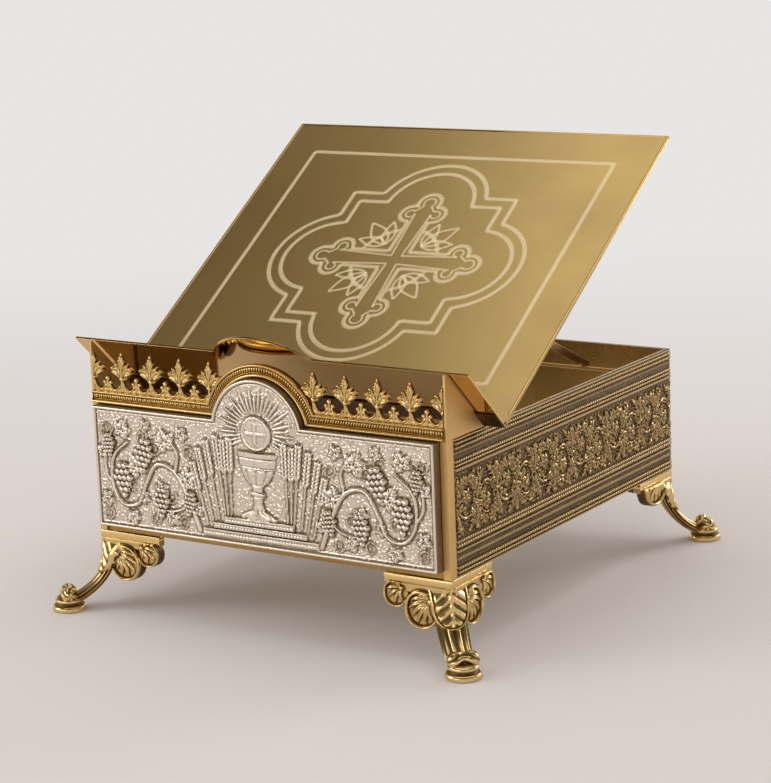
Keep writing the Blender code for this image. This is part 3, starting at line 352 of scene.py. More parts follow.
class Relief:
    """Carving over a flat field, in millimetres.

    inside is how far a point lies within the carved outlines, height how far the carving stands up there.
    contrast is the step in height that takes the tone from dark to bright, sink how much low places darken; the
    dark tone is patina and painted shade in the hollows.
    """

    def __init__(self, low, high, step, contrast=2.0, sink=0.0):
        self.step = step
        self.sink = sink
        self.contrast = contrast
        self.a = np.arange(low[0], high[0] + step / 2, step)
        self.b = np.arange(low[1], high[1] + step / 2, step)
        self.inside = np.full((len(self.b), len(self.a)), -1000.0)
        self.height = np.zeros((len(self.b), len(self.a)))

    def window(self, points, reach):
        points = np.asarray(points, float).reshape(-1, 2)
        low = points.min(axis=0) - reach - 3 * self.step
        high = points.max(axis=0) + reach + 3 * self.step
        columns = slice(*np.searchsorted(self.a, (low[0], high[0])))
        rows = slice(*np.searchsorted(self.b, (low[1], high[1])))
        a, b = np.meshgrid(self.a[columns], self.b[rows])
        return (rows, columns), a, b

    def lay(self, place, inside, height):
        self.inside[place] = np.maximum(self.inside[place], inside)
        self.height[place] = np.maximum(self.height[place], np.where(inside > 0.0, height, 0.0))

    def ball(self, centre, radius, height, base=0.0):
        """Round boss."""
        place, a, b = self.window([centre], radius)
        reach = np.hypot(a - centre[0], b - centre[1])
        dome = np.sqrt(np.clip(1.0 - (reach / radius) ** 2, 0.0, 1.0))
        self.lay(place, radius - reach, base + height * dome)

    def petal(self, base, tip, width, height, bend=0.0, rib=0.35, lift=0.0, veins=0.0):
        """Pointed leaf blade with a sunk rib and slanting veins, bent sideways by a sag."""
        base = np.asarray(base, float)
        axis = np.asarray(tip, float) - base
        length = np.hypot(*axis)
        axis = axis / length
        place, a, b = self.window([base, tip], width + abs(bend))
        along = ((a - base[0]) * axis[0] + (b - base[1]) * axis[1]) / length
        across = (b - base[1]) * axis[0] - (a - base[0]) * axis[1] - bend * 4.0 * along * (1.0 - along)
        share = np.clip(along, 0.0, 1.0)
        half = width * np.sin(math.pi * share ** 0.8) ** 0.8
        inside = np.minimum(half - np.abs(across), np.minimum(along, 1.0 - along) * length + 0.3)
        ratio = np.clip(np.abs(across) / np.maximum(half, 1e-3), 0.0, 1.0)
        swell = 0.45 + 0.55 * np.sin(math.pi * np.clip(share, 0.08, 0.92))
        crown = height * np.sqrt(1.0 - ratio ** 2) * swell
        crown -= rib * height * np.exp(-(across / (0.16 * width + 0.05)) ** 2)
        if veins:
            comb = 0.5 + 0.5 * np.cos(2.0 * math.pi * (veins * along - 0.9 * ratio))
            crown -= 0.24 * height * comb * np.minimum(1.0, 3.0 * ratio)
        self.lay(place, inside, lift + crown)

    def stroke(self, points, width, height, taper=1.0, lift=0.0):
        """Round ridge along a line; taper is the width's share at its end."""
        points = np.asarray(points, float)
        place, a, b = self.window(points, width)
        best = np.full(a.shape, 1e3)
        share = np.zeros(a.shape)
        total = len(points) - 1
        for index, (start, end) in enumerate(zip(points, points[1:])):
            run = end - start
            size = max(run @ run, 1e-9)
            at = np.clip(((a - start[0]) * run[0] + (b - start[1]) * run[1]) / size, 0.0, 1.0)
            reach = np.hypot(a - start[0] - at * run[0], b - start[1] - at * run[1])
            nearer = reach < best
            best = np.where(nearer, reach, best)
            share = np.where(nearer, (index + at) / total, share)
        half = width * (1.0 + (taper - 1.0) * share)
        ratio = np.clip(best / np.maximum(half, 1e-3), 0.0, 1.0)
        self.lay(place, half - best, lift + height * np.sqrt(1.0 - ratio ** 2))

    def block(self, low, high, height, bevel=0.8):
        """Flat raised block with bevelled edges."""
        place, a, b = self.window([low, high], bevel)
        inside = np.minimum(np.minimum(a - low[0], high[0] - a), np.minimum(b - low[1], high[1] - b))
        self.lay(place, inside, height * np.clip(inside / bevel, 0.0, 1.0))

    def leaf(self, base, tip, width, height, pairs=3):
        """Acanthus leaf: pairs of lobes along a rib and a lobe at the end."""
        base = np.asarray(base, float)
        axis = np.asarray(tip, float) - base
        across = np.array((-axis[1], axis[0])) / np.hypot(*axis)
        for pair in range(pairs):
            share = 0.05 + 0.60 * pair / pairs
            spread = width * (1.0 - 0.5 * share)
            root = base + axis * share
            for side in (-1, 1):
                end = root + axis * 0.34 + across * side * spread
                self.petal(root, end, spread * 0.40, height * (0.9 - 0.08 * pair), -side * spread * 0.18)
        self.petal(base + axis * 0.38, tip, width * 0.42, height)
        self.stroke([base, base + axis * 0.8], width * 0.13, height, 0.4)

    def rosette(self, centre, radius, height, petals=6):
        """Open flower with a round heart."""
        for index in range(petals):
            angle = 2.0 * math.pi * (index + 0.25) / petals
            tip = (centre[0] + radius * math.cos(angle), centre[1] + radius * math.sin(angle))
            self.petal(centre, tip, radius * 0.40, height * 0.85, rib=0.25)
        self.ball(centre, radius * 0.34, height * 0.55, height * 0.5)

    def pebble(self, amount, where):
        """Punch a fine stipple into part of the field, the same every time."""
        dots = 3.0 * softened(np.random.default_rng(11).standard_normal(self.height.shape), 1)
        self.height = self.height + np.where(where, np.clip(dots, -1.6, 1.6) * amount, 0.0)

    def trim(self, inside):
        """Cut the carving back to a limit over the whole field."""
        self.inside = np.minimum(self.inside, inside)

    def shell(self, shell, place, floor, edge=0.0, shade=0.3):
        """Close the carving into a shell with a flat back; place maps along, up and height to points. shade is the
        tone of the back and walls, and with an edge of the outer ring: painted shade there.
        """
        near = np.maximum(self.inside, -3.0 * self.step)
        slope_b, slope_a = np.gradient(near, self.step)
        steep = np.maximum(slope_a ** 2 + slope_b ** 2, 0.05)
        pull = np.where(near < 0.0, np.clip(-near / steep, 0.0, 2.0 * self.step), 0.0)
        a, b = np.meshgrid(self.a, self.b)
        a = a + pull * slope_a
        b = b + pull * slope_b
        within = self.inside > 0.0
        height = np.where(within, np.maximum(self.height, edge - 0.2), edge)
        cells = within[:-1, :-1] | within[1:, :-1] | within[:-1, 1:] | within[1:, 1:]
        used = np.zeros(within.shape, bool)
        for rows in (slice(None, -1), slice(1, None)):
            for columns in (slice(None, -1), slice(1, None)):
                used[rows, columns] |= cells
        index = np.full(within.shape, -1)
        index[used] = np.arange(used.sum())
        total = used.sum()
        front = np.stack((index[:-1, :-1], index[:-1, 1:], index[1:, 1:], index[1:, :-1]), axis=-1)[cells]
        padded = np.pad(cells, 1)
        walls = []
        for row, column, first, second in ((0, 1, 0, 1), (1, 2, 1, 2), (2, 1, 2, 3), (1, 0, 3, 0)):
            neighbour = padded[row:row + cells.shape[0], column:column + cells.shape[1]]
            rim = front[(~neighbour)[cells]]
            start, end = rim[:, first], rim[:, second]
            walls.append(np.stack((end, start, start + total, end + total), axis=-1))
        top = place(a[used], b[used], height[used])
        under = place(a[used], b[used], np.full(total, floor))
        # Tone: bright above the local mean height, dark below it and in low places, as patina and painted shade in
        # the hollows.
        around = softened(height, max(1, round(1.5 / self.step)))
        low = np.clip(1.0 - height[used], 0.0, 1.0)
        tone = 0.5 + (height - around)[used] / self.contrast - self.sink * low
        tone = np.clip(np.where(within[used] | (edge == 0.0), tone, shade), 0.0, 1.0)
        shell.add(np.concatenate((top, under)), np.concatenate([front, front[:, ::-1] + total] + walls),
                  tone=np.concatenate((tone, np.full(total, shade))))


def make_node(tree, kind, inputs=None, **settings):
    """Add a shader node, set it up and link or fill its inputs."""
    node = tree.nodes.new(kind)
    for name, value in settings.items():
        setattr(node, name, value)
    for name, value in (inputs or {}).items():
        socket = node.inputs[name]
        if isinstance(value, bpy.types.NodeSocket):
            tree.links.new(value, socket)
        else:
            socket.default_value = value
    return node


def make_group(name, inputs, outputs):
    """Start a shader node group with named sockets."""
    group = bpy.data.node_groups.new(name, "ShaderNodeTree")
    for label, kind, value in inputs:
        socket = group.interface.new_socket(label, in_out="INPUT", socket_type=kind)
        if value is not None:
            socket.default_value = value
    for label, kind in outputs:
        group.interface.new_socket(label, in_out="OUTPUT", socket_type=kind)
    return group, group.nodes.new("NodeGroupInput"), group.nodes.new("NodeGroupOutput")


def handling_group():
    """Cloudy wear from handling and old lacquer: a mask and a fine height."""
    group, given, out = make_group(
        "Handling",
        [("Scale", "NodeSocketFloat", 30.0), ("Grain", "NodeSocketFloat", 900.0),
         ("Stretch", "NodeSocketVector", (1, 1, 1))],
        [("Cloud", "NodeSocketFloat"), ("Grain", "NodeSocketFloat")])
    place = make_node(group, "ShaderNodeTexCoord")
    cloud = make_node(group, "ShaderNodeTexNoise", {
        "Vector": place.outputs["Object"], "Scale": given.outputs["Scale"], "Detail": 5.0, "Roughness": 0.6})
    drawn = make_node(group, "ShaderNodeVectorMath", {
        0: place.outputs["Object"], 1: given.outputs["Stretch"]}, operation="MULTIPLY")
    grain = make_node(group, "ShaderNodeTexNoise", {
        "Vector": drawn.outputs["Vector"], "Scale": given.outputs["Grain"], "Detail": 3.0})
    spread = make_node(group, "ShaderNodeMapRange", {
        "Value": cloud.outputs["Fac"], "From Min": 0.32, "From Max": 0.68})
    group.links.new(spread.outputs["Result"], out.inputs["Cloud"])
    group.links.new(grain.outputs["Fac"], out.inputs["Grain"])
    return group


def patina_shade_group():
    """Darkening of the hollows of carved metal, partly patina and partly painted shade: a colour and a roughness.
    """
    group, given, out = make_group(
        "Toning",
        [("Tone", "NodeSocketFloat", 1.0),
         ("High", "NodeSocketColor", None), ("Low", "NodeSocketColor", None),
         ("From", "NodeSocketFloat", 0.0), ("To", "NodeSocketFloat", 0.5), ("Smooth", "NodeSocketFloat", 0.2),
         ("Rough", "NodeSocketFloat", 0.5), ("Speckle", "NodeSocketFloat", 160.0)],
        [("Color", "NodeSocketColor"), ("Roughness", "NodeSocketFloat")])
    place = make_node(group, "ShaderNodeTexCoord")
    patch = make_node(group, "ShaderNodeTexNoise", {
        "Vector": place.outputs["Object"], "Scale": given.outputs["Speckle"], "Detail": 4.0})
    jitter = make_node(group, "ShaderNodeMath", {0: patch.outputs["Fac"], 1: 0.5}, operation="SUBTRACT")
    ragged = make_node(group, "ShaderNodeMath", {
        0: jitter.outputs["Value"], 1: 0.35, 2: given.outputs["Tone"]}, operation="MULTIPLY_ADD")
    mask = make_node(group, "ShaderNodeMapRange", {
        "Value": ragged.outputs["Value"], "From Min": given.outputs["From"], "From Max": given.outputs["To"]},
        interpolation_type="SMOOTHSTEP")
    mix = make_node(group, "ShaderNodeMix", {
        0: mask.outputs["Result"], 6: given.outputs["Low"], 7: given.outputs["High"]}, data_type="RGBA")
    rough = make_node(group, "ShaderNodeMapRange", {
        "Value": mask.outputs["Result"], "To Min": given.outputs["Rough"], "To Max": given.outputs["Smooth"]})
    group.links.new(mix.outputs[2], out.inputs["Color"])
    group.links.new(rough.outputs["Result"], out.inputs["Roughness"])
    return group


def edge_group():
    """Rounded edges of sheet metal: a normal, and a mask where the edge is rubbed bright."""
    group, given, out = make_group(
        "Rubbed Edge", [("Radius", "NodeSocketFloat", 0.0005)],
        [("Normal", "NodeSocketVector"), ("Edge", "NodeSocketFloat")])
    bevel = make_node(group, "ShaderNodeBevel", {"Radius": given.outputs["Radius"]}, samples=4)
    shape = make_node(group, "ShaderNodeNewGeometry")
    turn = make_node(group, "ShaderNodeVectorMath", {
        0: bevel.outputs["Normal"], 1: shape.outputs["Normal"]}, operation="DOT_PRODUCT")
    edge = make_node(group, "ShaderNodeMapRange", {
        "Value": turn.outputs["Value"], "From Min": 0.98, "From Max": 0.75})
    group.links.new(bevel.outputs["Normal"], out.inputs["Normal"])
    group.links.new(edge.outputs["Result"], out.inputs["Edge"])
    return group


def shared_group(name, maker):
    """One of the shared effects, built the first time it is asked for."""
    return bpy.data.node_groups.get(name) or maker()


def start_material(name, metallic=1.0):
    """Material with its metal shader ready for links."""
    material = bpy.data.materials.new(name)
    material.use_nodes = True
    shader = material.node_tree.nodes["Principled BSDF"]
    shader.inputs["Metallic"].default_value = metallic
    return material, material.node_tree, shader


def place_group(tree, group, inputs=None):
    """Place a shared effect in a material."""
    return make_node(tree, "ShaderNodeGroup", inputs, node_tree=group)


def rgba(colour):
    """Colour with full alpha."""
    return (*colour, 1.0)


def sheet_metal(name, colour, worn, rough, grain, stretch, bump, edge=0.0005):
    """Rolled or polished sheet: cloudy handling, drawn grain and rubbed edges."""
    material, tree, shader = start_material(name)
    handling = place_group(tree, shared_group("Handling", handling_group), {
        "Scale": 14.0, "Grain": grain, "Stretch": stretch})
    rubbed = place_group(tree, shared_group("Rubbed Edge", edge_group), {"Radius": edge})
    base = make_node(tree, "ShaderNodeMix", {
        0: handling.outputs["Cloud"], 6: rgba(colour), 7: rgba(worn)}, data_type="RGBA")
    bright = tuple(min(1.0, channel * 1.25 + 0.03) for channel in colour)
    rim = make_node(tree, "ShaderNodeMix", {
        0: rubbed.outputs["Edge"], 6: base.outputs[2], 7: rgba(bright)}, data_type="RGBA")
    mixed = make_node(tree, "ShaderNodeMath", {
        0: handling.outputs["Grain"], 1: 0.6, 2: handling.outputs["Cloud"]}, operation="MULTIPLY_ADD")
    roughness = make_node(tree, "ShaderNodeMapRange", {
        "Value": mixed.outputs["Value"], "From Max": 1.6, "To Min": rough[0], "To Max": rough[1]})
    bumped = make_node(tree, "ShaderNodeBump", {
        "Height": handling.outputs["Grain"], "Normal": rubbed.outputs["Normal"],
        "Strength": bump, "Distance": 0.0002})
    tree.links.new(rim.outputs[2], shader.inputs["Base Color"])
    tree.links.new(roughness.outputs["Result"], shader.inputs["Roughness"])
    tree.links.new(bumped.outputs["Normal"], shader.inputs["Normal"])
    return material


def carved_metal(name, high, low, span, smooth, rough, stipple, bump, speckle=160.0):
    """Cast or stamped metal: bright high places, hollows darkened by patina and painted shade, and a fine pebbled
    skin.
    """
    material, tree, shader = start_material(name)
    tone = make_node(tree, "ShaderNodeAttribute", attribute_name="tone")
    patina_shade = place_group(tree, shared_group("Toning", patina_shade_group), {
        "Tone": tone.outputs["Fac"], "High": rgba(high), "Low": rgba(low),
        "From": span[0], "To": span[1], "Smooth": smooth, "Rough": rough, "Speckle": speckle})
    handling = place_group(tree, shared_group("Handling", handling_group), {"Scale": 40.0, "Grain": stipple})
    soft = make_node(tree, "ShaderNodeMath", {0: handling.outputs["Cloud"], 1: 0.12}, operation="MULTIPLY")
    worn = make_node(tree, "ShaderNodeMix", {
        0: soft.outputs["Value"], 6: patina_shade.outputs["Color"], 7: rgba(high)}, data_type="RGBA")
    bumped = make_node(tree, "ShaderNodeBump", {
        "Height": handling.outputs["Grain"], "Strength": bump, "Distance": 0.0003})
    tree.links.new(worn.outputs[2], shader.inputs["Base Color"])
    tree.links.new(patina_shade.outputs["Roughness"], shader.inputs["Roughness"])
    tree.links.new(bumped.outputs["Normal"], shader.inputs["Normal"])
    return material


def finish_of(name):
    """A finish by name, made the first time it is asked for."""
    label = "worked_" + name
    made = bpy.data.materials.get(label)
    if made:
        return made
    chosen = colours()
    plain = (1.0, 1.0, 1.0)

    def sheet(colour, shade, rough, grain, stretch, bump, edge=0.0005):
        return sheet_metal(label, colour, tuple(c * shade for c in colour), rough, grain, stretch, bump, edge)

    def carved(high, low, span, smooth, rough, stipple, bump, speckle=160.0):
        return carved_metal(label, high, low, span, smooth, rough, stipple, bump, speckle)

    makers = {
        "polished_brass": lambda: sheet(chosen.polished, 0.92, (0.03, 0.07), 500.0, plain, 0.01),
        "angle_brass": lambda: sheet(chosen.polished, 0.92, (0.44, 0.54), 700.0, plain, 0.03),
        # Dark brass on the fixed hinge leaf: painted shade for the dark band under the ledge's lower edge.
        "toned_brass": lambda: sheet(chosen.gilt_recess, 0.80, (0.28, 0.42), 700.0, plain, 0.05),
        "satin_brass": lambda: sheet(chosen.satin, 0.88, (0.28, 0.38), 1500.0, (1.0, 0.25, 0.25), 0.10),
        # Inner walls: their dark colour is partly painted shade inside the box.
        "sheet_brass": lambda: sheet(chosen.sheet, 0.75, (0.20, 0.36), 700.0, (0.3, 0.3, 1.0), 0.06),
        "rod_brass": lambda: sheet(chosen.rod, 0.75, (0.20, 0.36), 900.0, plain, 0.05, 0.0003),
        "bright_steel": lambda: sheet(chosen.steel, 0.70, (0.28, 0.45), 900.0, plain, 0.05, 0.0003),
        "engraved_line": lambda: sheet(chosen.engraved, 0.92, (0.42, 0.55), 2000.0, plain, 0.10, 0.0001),
        "gilt_brass": lambda: carved(chosen.gilt, chosen.gilt_recess, (0.18, 0.56), 0.20, 0.50, 700.0, 0.10),
        "cast_brass": lambda: carved(chosen.cast, chosen.cast_recess, (0.22, 0.60), 0.17, 0.45, 600.0, 0.12),
        "antique_brass": lambda: carved(
            chosen.antique, chosen.antique_recess, (0.22, 0.80), 0.18, 0.50, 900.0, 0.14, 600.0),
        "silver_plate": lambda: carved(
            chosen.silver, chosen.silver_recess, (0.20, 0.60), 0.24, 0.42, 1100.0, 0.30, 700.0),
    }
    material = makers[name]()
    if name == "engraved_line":
        material.node_tree.nodes["Principled BSDF"].inputs["Metallic"].default_value = 0.35
    return material


FINISHES = {
    "polished_brass": ("book_ledge",),
    "angle_brass": ("corner_angle_left", "corner_angle_right"),
    # The fixed hinge leaf is painted dark: painted shade under the ledge.
    "toned_brass": ("hinge_leaf_fixed",),
    "satin_brass": ("book_plate",),
    "sheet_brass": ("front_wall", "side_wall_left", "side_wall_right", "back_wall") + tuple(
        "gusset_" + corner for corner, _, _ in CORNERS),
    "rod_brass": ("hinge_leaf_moving", "prop_rail", "rail_boss_left", "rail_boss_right",
                  "prop_bracket", "prop_stay"),
    "bright_steel": ("hinge_pin", "prop_pin") + tuple(
        "plaque_nut_%d" % number for number in (1, 2, 3, 4)) + tuple(
        kind + corner for kind in ("foot_washer_", "foot_nut_") for corner, _, _ in CORNERS),
}


class STAND_OT_finishes(bpy.types.Operator):
    """Give the plain sheets, rods and fixings their finishes"""

    bl_idname = "stand.finishes"
    bl_label = "Finishes"

    def execute(self, context):
        for finish, names in FINISHES.items():
            for name in names:
                node = frame["nodes"][name]
                node.data.materials.clear()
                node.data.materials.append(finish_of(finish))
        return {"FINISHED"}


def on_plate(across, along, rise):
    """Points from amounts across the plate, up along it and off its middle plane."""
    return HINGE / MM + across * np.array((1.0, 0.0, 0.0)) + along * PLATE_ALONG + rise * PLATE_NORMAL


def rope(shell, path, width, pitch, lift):
    """Hatched band engraved along a path on the plate: slanted strokes with a raised burr."""
    path = np.asarray(path, float)
    runs = np.hypot(*np.diff(path, axis=0).T)
    travel = np.concatenate(([0.0], np.cumsum(runs)))
    spots = np.arange(pitch / 2, travel[-1], pitch)

    def at(places):
        return np.stack([np.interp(places, travel, path[:, axis]) for axis in (0, 1)], axis=-1)

    middle = at(spots)
    along = at(spots + 0.3) - at(spots - 0.3)
    along /= np.maximum(np.hypot(*along.T), 1e-6)[:, None]
    across = np.stack((-along[:, 1], along[:, 0]), axis=-1)
    slant = (along * 0.55 + across) * width / 2
    thick = along * pitch * 0.29
    low, high = middle - slant, middle + slant
    flat = np.stack((low - thick, low + thick, high + thick, high - thick), axis=1)
    ridge = np.stack((middle - slant * 0.8, middle + slant * 0.8), axis=1)
    count = len(spots)
    base = np.concatenate((flat, np.full((count, 4, 1), lift)), axis=2)
    top = np.concatenate((ridge, np.full((count, 2, 1), lift + BURR)), axis=2)
    points = np.concatenate((base, top), axis=1)
    world = on_plate(points[..., :1], points[..., 1:2], points[..., 2:])
    first = np.arange(count)[:, None] * 6
    quads = np.concatenate((first + [1, 2, 5, 4], first + [3, 0, 4, 5], first + [3, 2, 1, 0]))
    triangles = np.concatenate((first + [0, 1, 4], first + [2, 3, 5]))
    shell.add(world, quads, triangles)


def quatrefoil(half, radius, centre_reach, inset):
    """Outline of a square with a round lobe on each side, drawn in by an inset."""
    half -= inset
    radius -= inset
    meet = math.degrees(math.asin((half - centre_reach) / radius))
    side = np.concatenate(([(half, half)], round_line((0.0, centre_reach), radius, meet, 180.0 - meet, 40)))
    return turn_four(side)


def turn_four(part):
    """Repeat a quarter of an outline round its middle and close it."""
    quarters = []
    for turn in range(4):
        angle = turn * math.pi / 2
        spin = np.array(((math.cos(angle), -math.sin(angle)), (math.sin(angle), math.cos(angle))))
        quarters.append(part @ spin.T)
    return np.concatenate(quarters + [quarters[0][:1]])


def cross_quarter(width, reach, inset):
    """One arm of a cross with a three-lobed end, drawn in by an inset."""
    width -= inset
    lobe = 8.6 - inset
    tip = 9.6 - inset
    flank = (reach - 13.0, 11.0)
    bud = (reach, 0.0)
    gap = math.dist(flank, bud)
    lean = math.atan2(bud[1] - flank[1], bud[0] - flank[0])
    spread = math.acos(min(1.0, (gap ** 2 + lobe ** 2 - tip ** 2) / (2 * gap * lobe)))
    start = 180.0 + math.degrees(math.asin(min(1.0, (flank[1] - width) / lobe)))
    end = math.degrees(lean + spread)
    meet = (flank[0] + lobe * math.cos(lean + spread), flank[1] + lobe * math.sin(lean + spread))
    bud_angle = math.degrees(math.atan2(meet[1], meet[0] - bud[0]))
    upper = np.concatenate(([(width, width)], round_line(flank, lobe, start, end, 18)))
    nose = round_line(bud, tip, bud_angle, -bud_angle, 18)
    lower = upper[::-1] * (1.0, -1.0)
    return np.concatenate((upper, nose, lower))[::-1]


def spray(angle, inset):
    """Three-bladed leaf between the arms of the cross."""
    lines = []
    for turn, length, width in ((0.0, 31.0, 6.4), (36.0, 25.0, 5.0), (-36.0, 25.0, 5.0)):
        heading = math.radians(angle + turn)
        share = np.linspace(0.0, 1.0, 16)
        side = (width - inset) * np.sin(math.pi * share ** 0.8)
        along = 23.0 * np.array((math.cos(math.radians(angle)), math.sin(math.radians(angle))))
        axis = np.array((math.cos(heading), math.sin(heading)))
        cross = np.array((-axis[1], axis[0]))
        spine = along + np.outer(share * (length - inset), axis)
        lines.append(np.concatenate((spine + np.outer(side, cross), (spine - np.outer(side, cross))[::-1])))
    return lines


class STAND_OT_engraving(bpy.types.Operator):
    """Engrave the border, the quatrefoil and the cross on the book plate"""

    bl_idname = "stand.engraving"
    bl_label = "Plate engraving"

    border = (134.1, 34.4, 267.6)
    edge = (164.4, 9.0, 300.2)
    edge_reach = (1.5, 1.0)
    middle = (0.0, 150.5)
    sheet_half = 0.8
    line_proud = 0.02

    def execute(self, context):
        width = sizes().rope_width / MM
        pitch = sizes().rope_pitch / MM
        lift = self.sheet_half + self.line_proud
        shell = Shell()
        half, low, high = self.border
        corners = [(half, low), (half, high), (-half, high), (-half, low), (half, low)]
        rope(shell, corners, width, pitch, lift)
        lines = [(quatrefoil(72.0, 46.5, 60.5, inset), 1.0) for inset in (0.0, 9.6)]
        for inset, share in ((0.0, 1.0), (4.6, 0.5)):
            lines.append((turn_four(cross_quarter(9.0, 64.0, inset)), share))
        for quadrant in (45.0, 135.0, 225.0, 315.0):
            lines.append((round_line((0.0, 0.0), 34.0, quadrant - 27.0, quadrant + 27.0, 24), 1.0))
            lines += [(line, 0.6) for line in spray(quadrant, 0.0)]
        for line, share in lines:
            rope(shell, line + np.array(self.middle), width * share, pitch, lift)
        shell.build("plate_engraving", finish_of("engraved_line"), "plate", finish="satin_brass")
        half, low, high = self.edge
        path = np.array([(-half, low), (-half, high - 2.0), (-half + 0.6, high - 0.6), (-half + 2.0, high),
                         (half - 2.0, high), (half - 0.6, high - 0.6), (half, high - 2.0), (half, low)])
        along = np.gradient(path, axis=0)
        along /= np.hypot(*along.T)[:, None]
        out = np.stack((-along[:, 1], along[:, 0]), axis=-1)[:, None, :]
        turn = np.linspace(0.0, 2.0 * math.pi, 16, endpoint=False)[None, :, None]
        flat = path[:, None, :] + out * np.cos(turn) * self.edge_reach[0]
        rise = np.sin(turn) * self.edge_reach[1] * np.ones((len(path), 1, 1))
        rim = Shell()
        rim.add(*skin(on_plate(flat[..., :1], flat[..., 1:], rise)))
        rim.build("plate_rim", finish_of("polished_brass"), "plate", finish="satin_brass")
        return {"FINISHED"}


def vine_leaf(relief, centre, radius, angle, height):
    """Lobed and veined vine leaf seen from above."""
    for turn, share in ((0.0, 1.0), (58.0, 0.86), (-58.0, 0.86), (118.0, 0.66), (-118.0, 0.66)):
        heading = math.radians(angle + turn)
        tip = (centre[0] + radius * share * math.cos(heading), centre[1] + radius * share * math.sin(heading))
        crown = height * (0.8 + 0.2 * share)
        relief.petal(centre, tip, radius * 0.38 * share, crown, rib=0.4, veins=5.0 * share)
    relief.ball(centre, radius * 0.16, height * 0.4, height * 0.35)


def grapes(relief, top, length, angle, height):
    """Bunch of grapes, tapering to its end."""
    heading = math.radians(angle)
    axis = np.array((math.cos(heading), math.sin(heading)))
    across = np.array((-axis[1], axis[0]))
    rows = 6
    for row in range(rows):
        count = (2, 3, 4, 3, 2, 1)[row]
        for index in range(count):
            spot = np.array(top) + axis * length * (row + 0.5) / rows
            spot = spot + across * (index - (count - 1) / 2) * length * 0.155
            relief.ball(spot, length * 0.098, height * 0.8, height * 0.25 * (1 + count / 4))


def wheat(relief, base, tip, height):
    """Ear of wheat on its stalk."""
    base = np.asarray(base, float)
    axis = np.asarray(tip, float) - base
    across = np.array((-axis[1], axis[0])) / np.hypot(*axis)
    relief.stroke([base, base + axis * 0.60], 0.7, height * 0.6)
    for step in range(8):
        root = base + axis * (0.52 + 0.052 * step)
        for side in (-1, 1):
            relief.petal(root, root + axis * 0.105 + across * side * 2.6, 1.25, height * 0.85, rib=0.2)
    relief.petal(base + axis * 0.91, tip, 1.2, height * 0.9, rib=0.2)


def chalice(relief, foot, height):
    """Chalice with a knop and chased bands, seen from the front."""
    levels = np.array([0.0, 2.0, 4.0, 7.0, 12.0, 16.0, 19.0, 21.5, 24.0, 28.0, 33.0, 40.0, 47.0, 48.5])
    widths = np.array([17.0, 17.0, 14.0, 6.0, 3.6, 4.2, 7.4, 4.2, 4.6, 10.0, 13.6, 15.6, 17.0, 17.6])
    place, a, b = relief.window([(-18.0, foot), (18.0, foot + levels[-1])], 1.0)
    rise = b - foot
    half = np.interp(rise, levels, widths)
    inside = np.minimum(half - np.abs(a), np.minimum(rise, levels[-1] - rise))
    crown = height * np.sqrt(np.clip(1.0 - (a / half) ** 2, 0.0, 1.0))
    turn = np.arcsin(np.clip(a / half, -1.0, 1.0))
    chased = ((rise > 26.0) & (rise < 36.0)) | (rise < 8.0)
    crown -= np.where(chased, 0.55 * np.abs(np.cos(5.0 * turn)) ** 3, 0.0)
    for level in (25.5, 36.6, 38.2, 44.6, 17.4, 20.6):
        crown -= 0.5 * np.exp(-((rise - level) / 0.45) ** 2)
    relief.lay(place, inside, crown)


WHEAT = (
    ((24.0, 17.0), (23.0, 75.0)), ((27.0, 17.0), (29.6, 73.0)), ((29.4, 17.0), (36.0, 75.4)),
    ((35.0, 13.0), (44.4, 71.0)), ((40.6, 11.4), (51.8, 64.9)), ((45.0, 8.0), (57.0, 54.0)),
)
VINE = (
    (52.0, 3.0), (60.0, 23.0), (72.0, 43.0), (88.0, 47.0), (98.0, 33.0), (106.0, 17.0), (120.0, 15.0),
    (129.0, 29.0), (127.0, 49.0), (114.0, 61.0),
)
SHOOTS = (
    ((72.0, 43.0), (70.0, 58.0), (80.0, 68.0), (92.0, 66.0)),
    ((60.0, 23.0), (68.0, 16.0), (80.0, 14.0), (90.0, 18.0)),
    ((129.0, 29.0), (135.0, 40.0), (133.0, 58.0), (126.0, 70.0)),
)
TENDRILS = (
    (101.0, 66.0, 1), (66.0, 6.0, -1), (134.0, 68.0, -1), (92.0, 7.0, 1), (135.0, 6.0, 1),
    (60.0, 58.0, -1), (90.0, 58.0, 1), (112.0, 27.0, -1), (77.0, 24.0, 1),
)
VINE_LEAVES = (
    (63.0, 38.1, 13.0, 150.0), (79.9, 62.4, 13.5, 70.0), (106.1, 41.4, 13.9, 60.0),
    (119.1, 68.1, 11.4, 110.0), (84.0, 31.0, 9.5, -70.0), (112.0, 7.5, 9.0, -100.0),
    (133.0, 18.0, 9.0, -20.0), (75.0, 10.5, 9.5, -60.0), (66.0, 70.0, 8.5, 120.0),
    (135.0, 52.0, 8.5, 30.0), (102.0, 22.0, 7.5, 200.0), (54.0, 18.0, 8.0, 170.0),
    (97.0, 73.0, 7.5, 60.0), (122.0, 34.0, 7.0, 80.0),
)
BUNCHES = (
    (97.0, 64.9, 25.1, -80.0), (119.1, 45.4, 26.0, -92.0), (84.1, 30.8, 22.7, -86.0),
    (58.0, 30.0, 18.0, -80.0), (131.0, 66.0, 17.0, -95.0),
)


